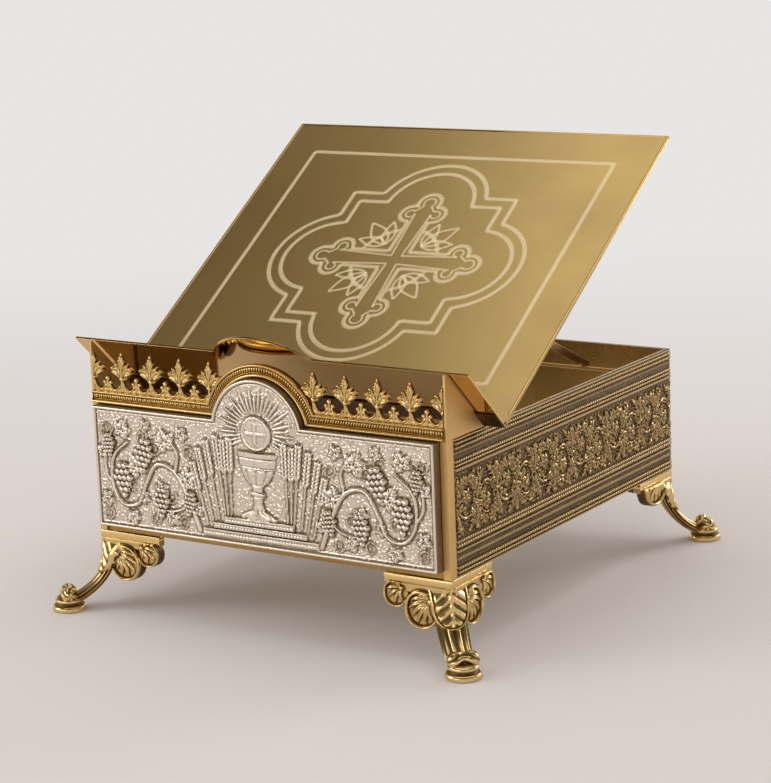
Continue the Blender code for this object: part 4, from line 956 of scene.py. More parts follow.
def plaque_relief():
    """Chalice under rays between wheat and vines, on a stippled field inside a raised border."""
    depth = sizes().relief_depth / MM
    low = PLAQUE_FOOT + 4.0
    relief = Relief((-PLAQUE_HALF - 1.0, PLAQUE_FOOT - 1.0), (PLAQUE_HALF + 1.0, PLAQUE_TOP + 1.0), 0.42, 1.5)
    for half, base, top, share in ((50.0, 0.0, 6.0, 0.5), (40.0, 6.0, 11.0, 0.62), (30.0, 11.0, 16.5, 0.75)):
        relief.block((-half, low + base), (half, low + top), depth * share)
        nosing = low + top - 1.0
        relief.stroke([(-half + 1.5, nosing), (half - 1.5, nosing)], 0.8, 0.5, lift=depth * share)
        for place in np.arange(-half + 2.6, half - 2.0, 2.6):
            relief.ball((place, low + base + 2.1), 0.95, 0.6, depth * share)
    foot = low + 16.0
    chalice(relief, foot, depth)
    host = (0.0, foot + 62.0)
    for ray in range(44):
        angle = 2.0 * math.pi * ray / 44
        reach = (35.0, 28.5)[ray % 2]
        heading = np.array((math.cos(angle), math.sin(angle)))
        if heading[1] > -0.42:
            relief.petal(host + heading * 14.5, host + heading * reach, 1.1, depth * 0.42, rib=0.0)
    relief.ball(host, 12.6, depth * 0.35, depth * 0.35)
    relief.stroke(round_line(host, 11.2, 0.0, 360.0, 49), 0.9, 0.6, lift=depth * 0.45)
    for arm in ((7.0, 0.0), (0.0, 7.0)):
        relief.stroke([np.array(host) - arm, np.array(host) + arm], 1.3, 0.7, lift=depth * 0.62)
    for side in (-1, 1):
        def at(x, z):
            return (side * x, low + z)

        for base, tip in WHEAT:
            wheat(relief, at(*base), at(*tip), depth * 0.9)
        relief.stroke(smooth_line([at(*spot) for spot in VINE]), 1.9, depth * 0.75, 0.6)
        for spots in SHOOTS:
            relief.stroke(smooth_line([at(*spot) for spot in spots]), 1.3, depth * 0.65, 0.5)
        for x, z, turns in TENDRILS:
            curl = round_line(at(x, z), (5.2, 0.9), 40.0, 40.0 + turns * side * 500.0, 34)
            relief.stroke(curl, 0.7, depth * 0.5, 0.6)
        for x, z, radius, angle in VINE_LEAVES:
            vine_leaf(relief, at(x, z), radius, angle if side > 0 else 180.0 - angle, depth * 0.92)
        for x, z, length, angle in BUNCHES:
            grapes(relief, at(x, z), length, angle if side > 0 else 180.0 - angle, depth)
    body = plaque_outline(relief)
    carved = np.where(body > 3.2, relief.height, 0.0)
    border = np.interp(body, (0.0, 0.6, 1.8, 2.3, 2.7), (0.8, 1.5, 1.5, 0.3, 0.0))
    line = 0.55 * np.sqrt(np.clip(1.0 - ((body - 3.7) / 0.5) ** 2, 0.0, 1.0))
    relief.height = np.maximum(np.maximum(carved, border), line)
    relief.inside = body
    relief.pebble(0.34, (body > 2.7) & (relief.height < 0.2))
    relief.pebble(0.05, (body > 2.7) & (relief.height >= 0.2))
    return relief


class STAND_OT_plaque(bpy.types.Operator):
    """Carve the silver plaque with its border, relief and studs"""

    bl_idname = "stand.plaque"
    bl_label = "Plaque"

    field = 6.9
    depth = 8.5
    stud_across = 115.0
    stud_rise = 26.0

    def execute(self, context):
        plane = FRONT - self.field

        def stand(a, b, height):
            return np.stack((a, plane - height, b), axis=-1)

        shell = Shell()
        # The plaque's side walls and outer ring take tone 0.0: a painted dark reflection on its sides.
        plaque_relief().shell(shell, stand, -self.depth, 0.4, 0.0)
        seat = plane + self.depth
        middle = (PLAQUE_FOOT + RIM) / 2
        for across in (-self.stud_across, self.stud_across):
            for level in (middle - self.stud_rise, middle + self.stud_rise):
                def place(a, b, along, across=across, level=level):
                    return np.stack((across + a, np.full(len(a), along), level + b), axis=-1)

                shell.add(*skin(turned([(1.5, seat - 1.5), (1.5, seat + 6.2), (1.1, seat + 6.6)], place, 20)))
        shell.build("plaque_carving", finish_of("silver_plate"), "base", ("relief_plaque",), "silver_plate")
        return {"FINISHED"}


class STAND_OT_gallery(bpy.types.Operator):
    """Run the gallery moulding with its dentils over the plaque and round the arch"""

    bl_idname = "stand.gallery"
    bl_label = "Gallery moulding"

    section = (
        (0.0, -1.5), (0.0, 0.8), (0.35, 1.5), (0.8, 1.9), (1.3, 2.1), (1.8, 2.1), (2.3, 1.8),
        (2.7, 1.1), (2.9, 0.3), (3.3, 0.2), (3.5, 1.0), (3.9, 1.2), (4.2, 0.3), (4.4, 1.1),
        (4.8, 1.4), (5.7, 1.5), (6.6, 1.4), (7.0, 1.1), (7.2, 0.3), (7.5, 0.2), (7.7, 1.1),
        (8.1, 1.5), (8.5, 1.6), (8.9, 1.4), (9.2, 0.6), (9.2, -1.5),
    )
    dentil_point = 15

    def execute(self, context):
        pitch = sizes().dentil_pitch / MM
        half = CREST_END
        offsets, proud = np.array(self.section).T
        proud = proud + 1.0
        dentil = np.where((offsets > 4.3) & (offsets < 7.1), 1.0, 0.0)
        straight = np.linspace(0.0, 1.0, 330)
        level = ARCH_DROP + offsets
        radius = ARCH_RADIUS + offsets
        meet = np.sqrt(radius ** 2 - level ** 2)
        left_x = -half + straight[:, None] * (half - meet[None, :])
        left_z = np.broadcast_to(RIM + offsets, left_x.shape)
        start = np.pi - np.arcsin(level / radius)
        bend = np.linspace(0.0, 1.0, 430)[1:-1]
        angle = start[None, :] + bend[:, None] * (np.pi - 2.0 * start)[None, :]
        arch_x = radius * np.cos(angle)
        arch_z = ARCH_CENTRE + radius * np.sin(angle)
        x = np.concatenate((left_x, arch_x, -left_x[::-1]))
        z = np.concatenate((left_z, arch_z, left_z[::-1]))
        line = np.stack((x[:, self.dentil_point], z[:, self.dentil_point]))
        travel = np.concatenate(([0.0], np.cumsum(np.hypot(*np.diff(line, axis=1)))))
        gap = np.clip(0.5 - 2.0 * np.cos(2.0 * math.pi * travel / pitch), 0.0, 1.0)
        cut = gap[:, None] * dentil[None, :]
        out = proud[None, :] - 0.9 * cut
        rings = np.stack((x, FRONT - out, z), axis=-1)
        points, quads, triangles = skin(rings)
        around = softened(out, 2)
        # Tone drops in the dentil gaps and low places of the section: painted shade along with patina.
        tone = np.clip(0.60 + (out - around) / 1.2 - 0.5 * cut, 0.0, 1.0).ravel()
        shell = Shell()
        shell.add(points, quads, triangles, tone=np.concatenate((tone, (0.5, 0.5))))
        shell.build("gallery_run", finish_of("gilt_brass"), "base", ("gallery_moulding",), "gilt_brass")
        return {"FINISHED"}


FLEUR_LEAVES = (
    ((0.2, 8.2), (10.2, 18.8), 3.3, 2.3, 1.6, 0.4, 2.5),
    ((3.0, 11.2), (10.6, 14.9), 1.7, 2.2, 1.0, 0.3, 0.0),
    ((4.6, 15.2), (11.4, 17.4), 1.7, 2.5, 0.7, 0.3, 0.0),
    ((1.6, 13.4), (7.2, 21.4), 1.9, 2.5, 1.0, 0.35, 0.0),
    ((0.3, 17.8), (3.7, 23.6), 1.3, 2.3, 0.5, 0.3, 0.0),
)


def fleur(relief, stem):
    """One fleur of the cresting, over its flared foot: a bud above two broad drooping leaves."""
    relief.petal((stem - 6.2, 1.3), (stem + 6.2, 1.3), 2.7, 1.6, rib=0.0)
    relief.stroke([(stem, 0.5), (stem, 20.0)], 1.3, 2.1, 0.9)
    relief.petal((stem, 0.8), (stem, 9.4), 2.2, 1.9, rib=0.2)
    relief.ball((stem, 9.4), 1.9, 1.6, 0.9)
    for side in (-1, 1):
        for root, tip, width, height, bend, rib, veins in FLEUR_LEAVES:
            relief.petal((stem + side * root[0], root[1]), (stem + side * tip[0], tip[1]),
                         width, height, side * bend, rib, veins=veins)
    relief.petal((stem, 15.0), (stem, 28.9), 2.7, 2.9, rib=0.25)
    relief.ball((stem, 25.2), 1.4, 1.3, 1.5)


def sprout(relief, middle):
    """Small trefoil shoot between two fleurs, with a round swag on each side."""
    relief.petal((middle - 5.0, 1.3), (middle + 5.0, 1.3), 2.3, 1.5, rib=0.0)
    relief.stroke([(middle, 0.6), (middle, 8.6)], 1.2, 2.0)
    relief.ball((middle, 9.3), 1.9, 1.5, 0.9)
    for side in (-1, 1):
        relief.petal((middle + side * 0.3, 1.8), (middle + side * 3.6, 6.8), 1.5, 1.9, side * 0.6, 0.2)
        relief.ball((middle + side * 2.7, 6.4), 1.6, 1.4, 0.8)
        swag = round_line((middle + side * 6.5, 5.5), 4.5, 198.0, 342.0, 16)
        relief.stroke(swag, 0.95, 1.9)


class STAND_OT_cresting(bpy.types.Operator):
    """Carve the pierced cresting on both sides of the arch"""

    bl_idname = "stand.cresting"
    bl_label = "Cresting"

    def execute(self, context):
        pitch = sizes().crest_pitch / MM
        relief = Relief((30.0, 0.0), (CREST_END, 29.0), 0.26, 2.0)
        relief.block((30.0, -3.0), (CREST_END + 3.0, 2.2), 1.5)
        for index in range(5):
            stem = CREST_END - index * pitch
            fleur(relief, stem)
            if index < 4:
                sprout(relief, stem - pitch / 2)
        a, b = np.meshgrid(relief.a, relief.b)
        clear = ARCH_RADIUS + MOULDING_WIDTH + 0.5
        relief.trim(np.hypot(a, b + CREST_FOOT - ARCH_CENTRE) - clear)

        def stand(a, b, height):
            return np.stack((a, FRONT + 1.5 - height, b + CREST_FOOT), axis=-1)

        right = Shell()
        relief.shell(right, stand, -0.8)
        for name, shell in (("right", right), ("left", right.mirrored((-1, 1, 1), (0, 0, 0)))):
            shell.build("cresting_carving_" + name, finish_of("gilt_brass"), "base",
                        ("cresting_" + name,), "gilt_brass")
        return {"FINISHED"}


STRIP_ROWS = (
    (0.0, 1.8, "flat", 1.0), (2.2, 4.8, "beads", 1.7), (5.2, 7.8, "beads", 1.7),
    (9.6, 11.2, "reed", 0.35), (15.0, 17.2, "beads", 1.4), (17.6, 19.8, "beads", 1.4),
    (20.6, 22.8, "flat", 1.0), (69.8, 72.4, "beads", 1.5), (72.9, 75.5, "beads", 1.5),
    (76.6, 78.6, "flat", 1.0), (81.8, 84.4, "reed", 0.6), (87.8, 90.6, "beads", 1.7),
    (91.0, 93.6, "beads", 1.7), (94.0, 95.4, "flat", 1.2),
)
FRIEZE = (25.0, 68.7)


def strip_carving(length):
    """Mouldings, bead rows and foliate frieze of a strip: along its length, and down from the rim."""
    depth = sizes().frieze_depth / MM
    pitch = sizes().bead_pitch / MM
    # sink 0.13 darkens the low places of the strips further: painted shade along with patina.
    relief = Relief((0.0, 0.0), (length, RIM - FLOOR), length / round(length / 0.45), 1.5, 0.13)
    middle = sum(FRIEZE) / 2
    unit = length / sizes().frieze_repeats
    wave = np.linspace(-unit, length + unit, 400)
    stem = np.stack((wave, middle + 10.1 * np.sin(2.0 * math.pi * wave / unit)), axis=-1)
    relief.stroke(stem, 1.2, depth * 0.6)
    for index in range(-1, 2 * sizes().frieze_repeats + 2):
        side = 1 if index % 2 else -1
        centre = np.array((unit * (0.25 + 0.5 * index), middle + side * 4.6))
        curl = round_line(centre, (12.6, 4.6), -side * 95.0, -side * 95.0 + side * 330.0, 40)
        relief.stroke(curl, 0.8, depth * 0.4, 0.8)
        relief.rosette(centre, 6.6, depth, 5)
        for step in range(11):
            turn = math.radians(side * (31.0 * step - 70.0))
            ring = 11.6 - 5.0 * step / 11.0
            heading = np.array((math.cos(turn), math.sin(turn)))
            lean = np.array((-heading[1], heading[0])) * side
            root = centre + heading * ring
            reach = 8.4 - 0.25 * step
            relief.leaf(root, root + heading * reach * 0.75 + lean * reach * 0.75, 3.9 - 0.1 * step, depth, 2)
        post = unit * 0.5 * index
        relief.leaf((post, middle + side * 4.0), (post, middle + side * 20.8), 6.6, depth, 4)
        relief.ball((post, middle + side * 19.0), 1.7, depth * 0.6, depth * 0.4)
        for lean in (-1, 1):
            relief.leaf((post, middle - side * 6.0), (post + lean * 7.5, middle - side * 20.6), 4.4, depth, 3)
            root = (post + lean * 4.0, middle + side * 12.0)
            relief.leaf(root, (post + lean * 11.5, middle + side * 20.6), 3.2, depth * 0.9, 2)
            relief.ball((post + lean * 3.4, middle - side * 20.2), 1.3, depth * 0.7)
    a, b = np.meshgrid(relief.a, relief.b)
    field = (b > FRIEZE[0]) & (b < FRIEZE[1])
    edge = np.clip((np.minimum(a, length - a) - 1.0) / 2.0, 0.0, 1.0)
    foliage = np.maximum(relief.height * edge, 0.1)
    relief.height = np.where(field, foliage, strip_rows(a, b, pitch) * (0.5 + 0.5 * edge))
    relief.inside[:] = 1.0
    relief.pebble(0.20, field)
    return relief


class STAND_OT_strips(bpy.types.Operator):
    """Carve the ornamental strips of both sides and the back"""

    bl_idname = "stand.strips"
    bl_label = "Ornamental strips"

    seat = 1.6
    sheet = 1.2

    def execute(self, context):
        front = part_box("side_strip_right")[0].y / MM
        ground = self.sheet - self.seat
        length = BACK + ground - front
        carving = strip_carving(length)

        def side_place(a, b, height):
            mitre = np.where(a > length - 1e-6, height - 0.15, 0.0)
            return np.stack((SIDE + ground + height, front + np.minimum(a, length) + mitre, RIM - b), axis=-1)

        right = Shell()
        carving.shell(right, side_place, -self.sheet)
        material = finish_of("antique_brass")
        right.build("side_carving_right", material, "base", ("side_strip_right",), "antique_brass")
        left = right.mirrored((-1, 1, 1), (0, 0, 0))
        left.build("side_carving_left", material, "base", ("side_strip_left",), "antique_brass")
        reach = SIDE + ground
        back_carving = strip_carving(2.0 * reach)

        def back_place(a, b, height):
            x = np.minimum(a, 2.0 * reach) - reach
            ends = np.where(a < 1e-6, -1.0, np.where(a > 2.0 * reach - 1e-6, 1.0, 0.0))
            return np.stack((x + ends * (height - 0.15), BACK + ground + height, RIM - b), axis=-1)

        back = Shell()
        back_carving.shell(back, back_place, -self.sheet)
        back.build("back_carving", material, "base", ("back_strip",), "antique_brass")
        return {"FINISHED"}


OUT = np.array((1.0, 1.0, 0.0)) / math.sqrt(2.0)
ACROSS = np.array((-1.0, 1.0, 0.0)) / math.sqrt(2.0)
UP = np.array((0.0, 0.0, 1.0))
SPLAY = 26.5


def along_axes(out, across, up):
    """Points from amounts along a foot's outward, sideways and upward axes."""
    return np.multiply.outer(out, OUT) + np.multiply.outer(across, ACROSS) + np.multiply.outer(up, UP)


def scroll_lobe(relief, centre, reach, height, blades):
    """Acanthus lobe inside a rolled rim: curved blades that fan out from an eye under the band."""
    centre = np.asarray(centre, float)
    reach = np.asarray(reach, float)
    eye = centre + reach * np.array((0.52, 0.46))
    place, a, b = relief.window([centre - reach, centre + reach], 1.0)
    away = np.hypot((a - centre[0]) / reach[0], (b - centre[1]) / reach[1])
    relief.lay(place, (1.0 - away) * reach.min(), height * 0.42 * np.sqrt(np.clip(1.0 - away ** 2, 0.0, 1.0)))
    rim = 0.91 * reach
    turn = np.radians(np.linspace(70.0, 335.0, 44))
    line = centre + np.stack((rim[0] * np.cos(turn), rim[1] * np.sin(turn)), axis=-1)
    relief.stroke(line, 0.09 * reach.min(), height * 0.45, 0.8, height * 0.40)
    for step in range(blades):
        heading = math.radians(112.0 + 212.0 * step / (blades - 1))
        tip = centre + 0.80 * reach * np.array((math.cos(heading), math.sin(heading)))
        root = eye + 0.10 * (tip - eye)
        mean = reach.mean()
        relief.petal(root, tip, 0.135 * mean, height * 0.55, -0.16 * mean, 0.30, height * 0.34)
    relief.ball(eye, 0.17 * reach.min(), height * 0.45, height * 0.50)


FRONT_LOBES = {
    "webs": (((-49.0, -4.5), -4.0, 0.9), ((-30.0, -21.0), -4.0, 0.7)),
    "lobes": ((-43.7, -6.1, (9.8, 9.8), 3.6, 5), (-22.6, -15.0, (13.8, 13.8), 4.4, 7)),
}
REAR_LOBES = {
    "webs": (((-31.0, -11.8), -4.0, 0.9),),
    "lobes": ((-31.0, 1.8, (18.0, 16.0), 4.2, 8),),
}


def foot_wing(shell, lobes):
    """Both wings of a foot: rolled lobes under the band on each side of the corner."""
    relief = Relief((-54.4, BAND_FOOT - 30.0), (-4.0, BAND_FOOT + 2.0), 0.30, 2.0)
    for low, high, height in lobes["webs"]:
        relief.block((low[0], BAND_FOOT + low[1]), (high, BAND_FOOT + 3.0), height)
    for along, level, reach, height, blades in lobes["lobes"]:
        scroll_lobe(relief, (along, BAND_FOOT + level), reach, height, blades)
    relief.trim(BAND_FOOT + 1.8 - np.meshgrid(relief.a, relief.b)[1])
    relief.shell(shell, lambda a, b, height: np.stack((a, height + WING_PROUD, b), axis=-1), -WING_DEPTH)
    relief.shell(shell, lambda a, b, height: np.stack((height + WING_PROUD, a, b), axis=-1), -WING_DEPTH)


def foot_band(shell):
    """Plain band of a foot under the box, with eased edges."""
    rings = []
    for level, inset in ((BAND_FOOT, 0.5), (BAND_FOOT + 0.5, 0.0), (BAND_TOP - 0.5, 0.0), (BAND_TOP, 0.5)):
        reach, depth, web = 53.5 - inset, 6.0 - inset, 34.0
        outline = ((-inset, -inset), (-reach, -inset), (-reach, -depth), (-web, -depth),
                   (-depth, -web), (-depth, -reach), (-inset, -reach))
        rings.append([(x, y, level) for x, y in outline])
    shell.add(*skin(rings))


def foot_leaf(shell):
    """Veined shell leaf over a foot's corner, with a thick rim and fluted flanks, tucked under the band."""
    rows, columns = 91, 121
    up = np.linspace(0.0, 1.0, rows)[:, None]
    run = np.linspace(-1.6, 1.6, columns)[None, :]
    side = np.clip(run, -1.0, 1.0)
    flank = np.clip(np.abs(run) - 1.0, 0.0, 1.0) / 0.6
    girth = (1.0 - (0.98 * np.clip(0.55 - up, 0.0, 1.0) / 0.55) ** 2.3) ** 0.5
    half = 13.6 * girth
    across = half * side * (1.0 + 0.08 * flank)
    spine = np.interp(up, (0.0, 0.14, 0.31, 0.42, 0.65, 1.0), (3.9, 2.6, 0.9, -0.1, -0.8, -1.2))
    bulge = spine - 8.2 * girth * (1.0 - np.sqrt(np.clip(1.0 - side ** 2, 0.0, 1.0)))
    away = np.minimum((1.0 - np.abs(side)) * half, 26.2 * up + 0.2 * half * (1.0 - np.abs(side)))
    rim = np.sqrt(np.clip(1.0 - ((away - 1.1) / 1.1) ** 2, 0.0, 1.0))
    inner = np.clip((away - 2.2) / 1.2, 0.0, 1.0)
    rib = np.exp(-(across / 1.1) ** 2)
    slant = up * 3.7 + np.abs(side) * 1.6 * girth
    vein = np.abs(np.cos(math.pi * slant)) ** 1.4 * (1.0 - rib) * inner
    carve = 1.7 * rim * (1.0 - np.minimum(1.0, 3.0 * flank)) + 1.3 * rib * inner + 1.3 * vein
    flute = 0.5 + 0.5 * np.cos(2.0 * math.pi * (1.5 * flank + 5.0 * up))
    tuck = np.clip((up - 0.60) / 0.38, 0.0, 1.0) ** 1.4
    out = bulge + (np.minimum(bulge, -0.9 - np.abs(across)) - bulge) * tuck + carve
    back = -13.2 + 11.6 * (1.0 - up) ** 0.9
    out = out + (np.minimum(back + 0.4, out) - out) * flank
    across = across + np.sign(run) * np.where(flank > 0.0, 1.1 * (flute - 1.0) * girth, 0.0)
    level = BAND_FOOT + 0.9 - 26.2 * (1.0 - up) + 0.0 * run
    face = along_axes(out, across, level)
    behind = along_axes(np.minimum(back, out - 0.4), across, level)
    grid = np.arange(rows * columns).reshape(rows, columns)
    total = rows * columns
    front = np.stack((grid[:-1, :-1], grid[:-1, 1:], grid[1:, 1:], grid[1:, :-1]), axis=-1).reshape(-1, 4)
    loop = np.concatenate((grid[0, :-1], grid[:-1, -1], grid[-1, :0:-1], grid[:0:-1, 0]))
    after = np.roll(loop, -1)
    wall = np.stack((after, loop, loop + total, after + total), axis=-1)
    # Tone: bright on rim, rib and veins, dark between them, in the flute grooves and on the back: painted shade
    # along with patina.
    tone = np.clip(np.where(flank > 0.0, 0.15 + 0.7 * flute, carve / 1.4), 0.0, 1.0).ravel()
    shell.add(np.concatenate((face.reshape(-1, 3), behind.reshape(-1, 3))),
              np.concatenate((front, front[:, ::-1] + total, wall)), tone=np.concatenate((tone, tone * 0.0)))


def foot_stem(shell):
    """Fluted stem sweeping down and out to the base."""
    steps, sides = 40, 96
    share = np.linspace(0.0, 1.0, steps)
    reach = -5.6 + (SPLAY - 3.7 + 5.6) * share ** 2.6 - 7.0 * (1.0 - share) ** 3
    level = BAND_FOOT - (BAND_FOOT - 7.8) * (1.0 - (1.0 - share) ** 1.15)
    width = 12.8 - 3.4 * share
    angle = np.linspace(0.0, 2.0 * math.pi, sides, endpoint=False)
    slope_out = np.gradient(reach)
    slope_up = np.gradient(level)
    size = np.hypot(slope_out, slope_up)
    groove = (0.5 - 0.5 * np.cos(10.0 * angle)) ** 0.6
    flute = 1.0 - 0.22 * groove
    rings = []
    for index in range(steps):
        front_out, front_up = -slope_up[index] / size[index], slope_out[index] / size[index]
        thick = 3.8 * flute * np.sin(angle)
        rings.append(along_axes(reach[index] + front_out * thick, width[index] * flute * np.cos(angle),
                                level[index] + front_up * thick))
    # Tone is dark in the flute grooves: painted shade along with patina.
    tone = np.tile(0.85 - 0.75 * groove, steps)
    points, quads, triangles = skin(rings)
    shell.add(points, quads, triangles, tone=np.concatenate((tone, (0.5, 0.5))))


def foot_scroll(shell):
    """Scroll lying across the base, swelling to a swirled bulb at each end."""
    sides = 72
    share = np.linspace(-1.0, 1.0, 49)
    angle = np.linspace(0.0, 2.0 * math.pi, sides, endpoint=False)
    rings, tones = [], []
    for s in share:
        radius = 6.3 * (1.0 - abs(s) ** 3.4) ** 0.5 * (1.0 - 0.24 * math.exp(-(s / 0.24) ** 2)) + 0.25
        swirl = (0.5 + 0.5 * np.cos(5.0 * angle + 6.5 * abs(s))) ** 1.5
        girth = radius * (1.0 - 0.16 * swirl)
        rings.append(along_axes(SPLAY + girth * np.cos(angle), np.full(sides, 11.4 * s),
                                12.3 + girth * np.sin(angle)))
        # Tone is dark in the swirl grooves: painted shade along with patina.
        tones.append(0.9 - 0.8 * swirl)
    points, quads, triangles = skin(rings)
    shell.add(points, quads, triangles, tone=np.concatenate((np.concatenate(tones), (0.5, 0.5))))


def foot_base(shell):
    """Turned base of a foot, and the stud that holds the foot in the box."""
    levels = np.array([0.0, 0.4, 1.4, 2.8, 3.8, 4.3, 4.7, 5.4, 6.0, 6.5, 7.2, 8.0, 8.8, 9.6, 10.4, 11.2])
    radii = np.array([11.8, 12.3, 12.6, 12.5, 12.0, 11.2, 10.0, 9.5,
                      9.4, 10.2, 10.7, 10.8, 10.5, 9.4, 7.8, 5.0])
    shade = np.array([0.4, 0.8, 1.0, 1.0, 0.9, 0.4, 0.1, 0.1, 0.2, 0.6, 1.0, 1.0, 0.9, 0.5, 0.3, 0.2])
    fine = np.linspace(0.0, 1.0, 61)
    marks = np.linspace(0.0, 1.0, len(levels))
    profile = list(zip(np.interp(fine, marks, radii), np.interp(fine, marks, levels)))

    def about(corner):
        return lambda a, b, level: np.stack((corner + a, corner + b, np.full(len(a), level)), axis=-1)

    points, quads, triangles = skin(turned(profile, about(SPLAY / math.sqrt(2.0)), 64))
    tone = np.repeat(np.interp(fine, marks, shade), 64)
    shell.add(points, quads, triangles, tone=np.concatenate((tone, (0.5, 0.5))))
    stud = [(2.0, BAND_FOOT + 0.3), (2.0, FLOOR + 7.2), (1.4, FLOOR + 7.7)]
    shell.add(*skin(turned(stud, about(-STUD_INSET), 20)))


class STAND_OT_feet(bpy.types.Operator):
    """Model the four cast feet"""

    bl_idname = "stand.feet"
    bl_label = "Cast feet"

    def execute(self, context):
        for lobes, row in ((FRONT_LOBES, -1), (REAR_LOBES, 1)):
            foot = Shell()
            foot_wing(foot, lobes)
            for part in (foot_band, foot_leaf, foot_stem, foot_scroll, foot_base):
                part(foot)
            for corner, across, along in CORNERS:
                if along == row:
                    copy = foot.mirrored((across, along, 1), (across * SIDE, along * BACK, 0.0))
                    copy.build("foot_casting_" + corner, finish_of("cast_brass"), "base",
                               ("foot_" + corner,), "cast_brass")
        return {"FINISHED"}


def add_lamp(name, place, aim, size, power, colour):
    """Soft square light aimed at a point."""
    data = bpy.data.lights.new(name, "AREA")
    data.shape = "RECTANGLE"
    data.size, data.size_y = size
    data.energy = power
    data.color = colour
    lamp = bpy.data.objects.new(name, data)
    bpy.context.scene.collection.objects.link(lamp)
    lamp.location = place
    lamp.rotation_euler = (Vector(aim) - Vector(place)).to_track_quat("-Z", "Y").to_euler()


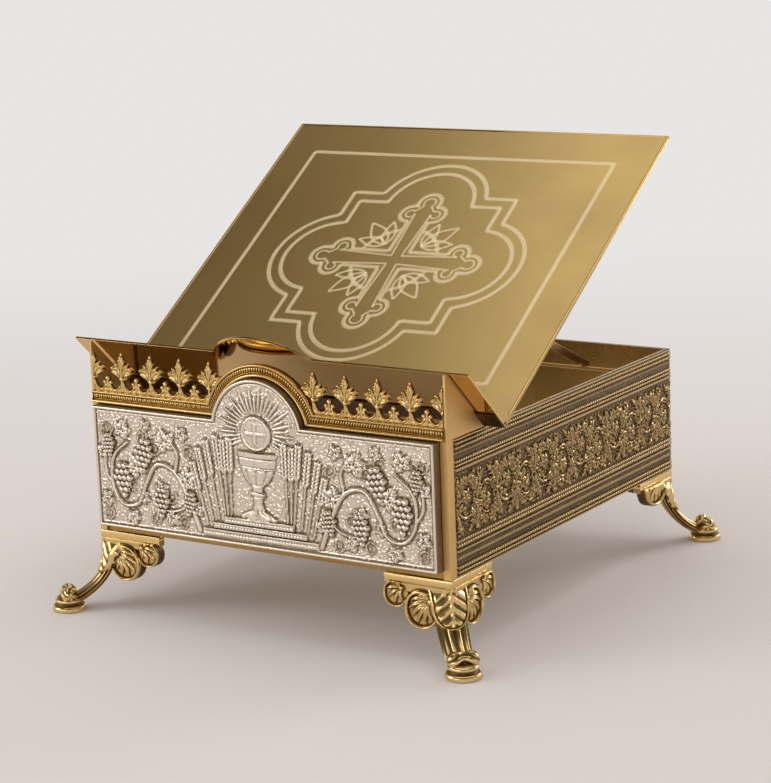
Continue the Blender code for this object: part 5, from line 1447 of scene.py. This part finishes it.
class STAND_OT_stage(bpy.types.Operator):
    """Set the camera, the lights, the room and the floor"""

    bl_idname = "stand.stage"
    bl_label = "Studio"

    aim = (-0.16644, 0.24684, 0.075)
    lamps = (
        ("key", (-1.75, -1.45, 1.0), (0.0, 0.0, 0.08), (1.2, 0.9), (0.93, 0.97, 1.0)),
        ("fill", (-0.3, -2.3, 0.55), (0.0, 0.0, 0.06), (1.6, 0.7), (1.0, 0.985, 0.96)),
        ("top", (-0.04, 0.2, 1.40), (-0.04, 0.2, 0.0), (1.2, 1.3), (1.0, 0.98, 0.94)),
        ("back", (0.9, 1.8, 0.8), (0.0, 0.05, 0.03), (1.0, 0.6), (1.0, 0.98, 0.95)),
    )
    wall_low = (0.86, 0.83, 0.80)
    wall_high = (0.12, 0.10, 0.07)
    room_tint = (1.0, 0.925, 0.83)

    def execute(self, context):
        self.set_camera(context)
        self.set_room(context)
        self.set_floor()
        for name, place, aim, size, colour in self.lamps:
            add_lamp(name + "_light", place, aim, size, getattr(studio(), name), colour)
        context.scene.view_settings.view_transform = "Standard"
        return {"FINISHED"}

    def set_camera(self, context):
        chosen = studio()
        turn, rise, roll = chosen.azimuth, chosen.elevation, chosen.roll
        back = Vector((math.sin(turn) * math.cos(rise), -math.cos(turn) * math.cos(rise), math.sin(rise)))
        right = Vector((math.cos(turn), math.sin(turn), 0.0))
        up = back.cross(right)
        across = right * math.cos(roll) + up * math.sin(roll)
        upright = up * math.cos(roll) - right * math.sin(roll)
        data = bpy.data.cameras.new("view")
        data.sensor_fit = "VERTICAL"
        data.sensor_height = 36.0
        data.lens = chosen.lens
        data.clip_end = 60.0
        camera = bpy.data.objects.new("view", data)
        context.scene.collection.objects.link(camera)
        matrix = Matrix((across, upright, back)).transposed().to_4x4()
        matrix.translation = Vector(self.aim) + back * chosen.distance
        camera.matrix_world = matrix
        context.scene.camera = camera

    def seen(self, tree):
        """Whether a surface is looked at straight, in a reflection or through something clear."""
        path = make_node(tree, "ShaderNodeLightPath")
        straight = make_node(tree, "ShaderNodeMath", {
            0: path.outputs["Is Camera Ray"], 1: path.outputs["Is Glossy Ray"]}, operation="MAXIMUM")
        clear = make_node(tree, "ShaderNodeMath", {
            0: straight.outputs["Value"], 1: path.outputs["Is Transmission Ray"]}, operation="MAXIMUM")
        return clear.outputs["Value"]

    def set_room(self, context):
        world = bpy.data.worlds.new("room")
        context.scene.world = world
        world.use_nodes = True
        tree = world.node_tree
        tree.nodes.clear()
        place = make_node(tree, "ShaderNodeTexCoord")
        parts = make_node(tree, "ShaderNodeSeparateXYZ", {"Vector": place.outputs["Generated"]})
        rise = make_node(tree, "ShaderNodeMapRange", {
            "Value": parts.outputs["Z"], "From Min": 0.05, "From Max": 0.75}, interpolation_type="SMOOTHSTEP")
        wall = make_node(tree, "ShaderNodeMix", {
            0: rise.outputs["Result"], 6: rgba(self.wall_low), 7: rgba(self.wall_high)}, data_type="RGBA")
        shown = make_node(tree, "ShaderNodeBackground", {"Color": wall.outputs[2], "Strength": 1.0})
        lit = make_node(tree, "ShaderNodeBackground", {
            "Color": rgba(self.room_tint), "Strength": studio().world})
        both = make_node(tree, "ShaderNodeMixShader", {
            0: self.seen(tree), 1: lit.outputs[0], 2: shown.outputs[0]})
        out = make_node(tree, "ShaderNodeOutputWorld", {"Surface": both.outputs[0]})
        out.is_active_output = True

    def set_floor(self):
        material, tree, shader = start_material("studio_floor", 0.0)
        shader.inputs["Roughness"].default_value = 0.75
        shader.inputs["Specular IOR Level"].default_value = 0.2
        handling = place_group(tree, shared_group("Handling", handling_group), {"Scale": 1.3, "Grain": 300.0})
        tint = tuple(colours().floor)
        cloudy = tuple(channel * 0.985 for channel in tint)
        mix = make_node(tree, "ShaderNodeMix", {
            0: handling.outputs["Cloud"], 6: rgba(tint), 7: rgba(cloudy)}, data_type="RGBA")
        bumped = make_node(tree, "ShaderNodeBump", {
            "Height": handling.outputs["Grain"], "Strength": 0.02, "Distance": 0.0002})
        tree.links.new(mix.outputs[2], shader.inputs["Base Color"])
        tree.links.new(bumped.outputs["Normal"], shader.inputs["Normal"])
        place = make_node(tree, "ShaderNodeTexCoord")
        depth = make_node(tree, "ShaderNodeVectorMath", {
            0: place.outputs["Object"], 1: (-0.55, 0.83, 0.9)}, operation="DOT_PRODUCT")
        far = make_node(tree, "ShaderNodeMapRange", {
            "Value": depth.outputs["Value"], "From Min": 0.05, "From Max": 1.6},
            interpolation_type="SMOOTHSTEP")
        share = make_node(tree, "ShaderNodeMath", {
            0: far.outputs["Result"], 1: self.seen(tree)}, operation="MULTIPLY")
        glow = make_node(tree, "ShaderNodeEmission", {"Color": rgba(colours().backdrop), "Strength": 1.0})
        both = make_node(tree, "ShaderNodeMixShader", {
            0: share.outputs["Value"], 1: shader.outputs[0], 2: glow.outputs[0]})
        tree.links.new(both.outputs[0], tree.nodes["Material Output"].inputs["Surface"])
        across = 9.0
        bend = np.linspace(0.05, math.pi / 2, 14)
        run = np.concatenate((np.linspace(-12.0, 2.2, 12), 2.2 + 0.8 * np.sin(bend), np.full(6, 3.0)))
        rise = np.concatenate((np.zeros(12), 0.8 - 0.8 * np.cos(bend), np.linspace(1.0, 3.2, 6)))
        points = np.concatenate([
            np.stack((np.full(len(run), side * across), run, rise), axis=-1) for side in (-1, 1)])
        count = len(run)
        faces = [(i, i + 1, count + i + 1, count + i) for i in range(count - 1)]
        mesh = bpy.data.meshes.new("studio_floor")
        mesh.from_pydata(points.tolist(), [], [face[::-1] for face in faces])
        mesh.polygons.foreach_set("use_smooth", np.full(len(faces), True))
        mesh.materials.append(material)
        floor = bpy.data.objects.new("studio_floor", mesh)
        bpy.context.scene.collection.objects.link(floor)


class STAND_PT_panel(bpy.types.Panel):
    """List of the stand's pieces"""

    bl_idname = "STAND_PT_panel"
    bl_label = "Missal Stand"
    bl_space_type = "VIEW_3D"
    bl_region_type = "UI"
    bl_category = "Stand"

    def draw(self, context):
        for operator in OPERATORS:
            self.layout.operator(operator.bl_idname)
        for group in (context.scene.stand_sizes, context.scene.stand_colours, context.scene.stand_studio):
            column = self.layout.column()
            for name in group.__annotations__:
                column.prop(group, name)


OPERATORS = (STAND_OT_finishes, STAND_OT_engraving, STAND_OT_plaque, STAND_OT_gallery, STAND_OT_cresting,
             STAND_OT_strips, STAND_OT_feet, STAND_OT_stage)
CLASSES = (StandSizes, StandColours, StandStudio) + OPERATORS + (STAND_PT_panel,)


def register():
    for cls in CLASSES:
        bpy.utils.register_class(cls)
    bpy.types.Scene.stand_sizes = PointerProperty(type=StandSizes)
    bpy.types.Scene.stand_colours = PointerProperty(type=StandColours)
    bpy.types.Scene.stand_studio = PointerProperty(type=StandStudio)


def unregister():
    del bpy.types.Scene.stand_studio
    del bpy.types.Scene.stand_colours
    del bpy.types.Scene.stand_sizes
    for cls in reversed(CLASSES):
        bpy.utils.unregister_class(cls)


def main():
    register()
    bpy.ops.stand.finishes()
    bpy.ops.stand.engraving()
    bpy.ops.stand.plaque()
    bpy.ops.stand.gallery()
    bpy.ops.stand.cresting()
    bpy.ops.stand.strips()
    bpy.ops.stand.feet()
    bpy.ops.stand.stage()


if __name__ == "__main__":
    main()
